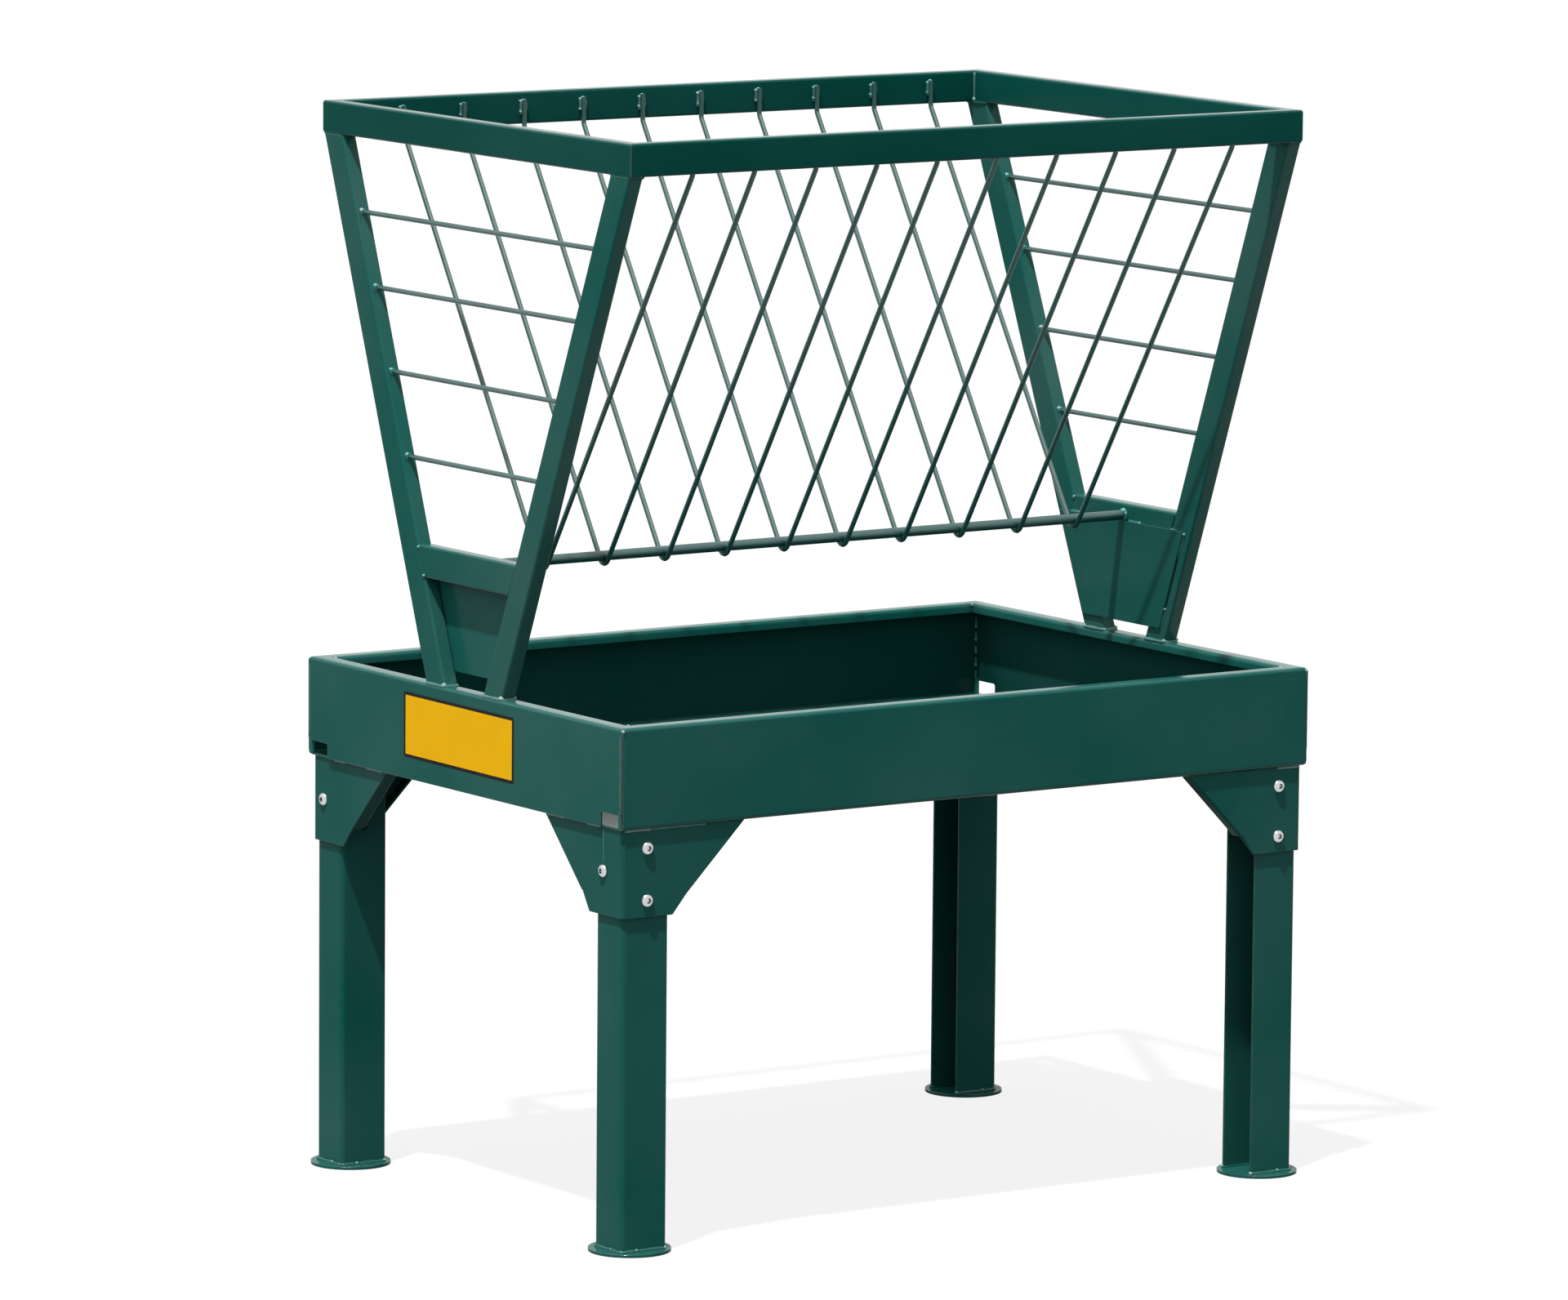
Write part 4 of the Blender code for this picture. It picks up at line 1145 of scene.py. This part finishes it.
def make_camera():
    """The camera at the photograph's angle."""
    azimuth = math.radians(CAMERA_AZIMUTH)
    pitch = math.radians(CAMERA_ELEVATION)
    roll = math.radians(CAMERA_ROLL)
    right = Vector((math.cos(azimuth), math.sin(azimuth), 0))
    level = math.cos(pitch)
    back = Vector((math.sin(azimuth) * level, -math.cos(azimuth) * level, math.sin(pitch)))
    up = back.cross(right)
    turned_right = right * math.cos(roll) + up * math.sin(roll)
    turned_up = up * math.cos(roll) - right * math.sin(roll)
    place = CAMERA_TARGET + turned_right * CAMERA_OFFSET[0] + turned_up * CAMERA_OFFSET[1]
    place += back * CAMERA_DISTANCE
    data = bpy.data.cameras.new("camera")
    data.sensor_fit = "HORIZONTAL"
    data.sensor_width = CAMERA_SENSOR
    data.lens = CAMERA_LENS
    data.clip_end = CAMERA_REACH
    camera = new_object("camera", data)
    matrix = Matrix((turned_right, turned_up, back)).transposed().to_4x4()
    matrix.translation = place
    camera.matrix_world = matrix
    bpy.context.scene.camera = camera


def main():
    """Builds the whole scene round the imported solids."""
    for item in list(bpy.data.objects):
        bpy.data.objects.remove(item, do_unlink=True)
    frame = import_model()
    materials = {
        "tray_paint": enamel("tray_enamel", TRAY_GREEN, **TRAY_LOOK),
        "frame_paint": enamel("frame_enamel", FRAME_GREEN, **FRAME_LOOK),
        "rod_paint": rod_enamel("rod_enamel", ROD_GREEN),
        "leg_paint": enamel("leg_enamel", LEG_GREEN, **LEG_LOOK),
        "foot_paint": enamel("foot_enamel", LEG_GREEN, **FOOT_LOOK),
        "bolt_zinc": zinc("bolt_metal"),
    }
    # tack_glint_enamel is a pale green that stands for the sun's glint on the tacks: painted glint
    tacks = enamel("tack_glint_enamel", TACK_GLINT_GREEN, **WELD_LOOK)
    # weld_enamel is paler than the enamel round it: a painted highlight
    welds = [enamel("weld_enamel", WELD_HIGHLIGHT_GREEN, **WELD_LOOK), tacks]
    ground = enamel("ground_enamel", FRAME_GREEN, rounding=0.0, **FRAME_LOOK)
    dress_nodes(frame, materials)
    weld_posts(frame, welds, ground)
    weld_end_frames(frame, welds, ground)
    weld_top_frame(welds)
    weld_v_rods(welds)
    weld_bottom_rod(frame, welds)
    weld_baffles(frame, welds)
    weld_tray(welds)
    # A dark strip of painted shade and a pale strip of painted highlight down each of the tray's corners
    corner_seams(enamel("crevice_shade_enamel", PAINTED_SHADE_GREEN), enamel("edge_highlight_enamel", scaled(TRAY_GREEN, EDGE_HIGHLIGHT_TONE)))
    weld_brackets(welds)
    weld_feet([enamel("foot_weld_enamel", LEG_GREEN, **FOOT_WELD_LOOK), tacks])
    make_label([label_film("label_yellow", LABEL_YELLOW), label_film("label_edge", LABEL_EDGE)])
    make_floor()
    make_light()
    make_camera()
    bpy.context.scene.view_settings.view_transform = "Standard"


main()
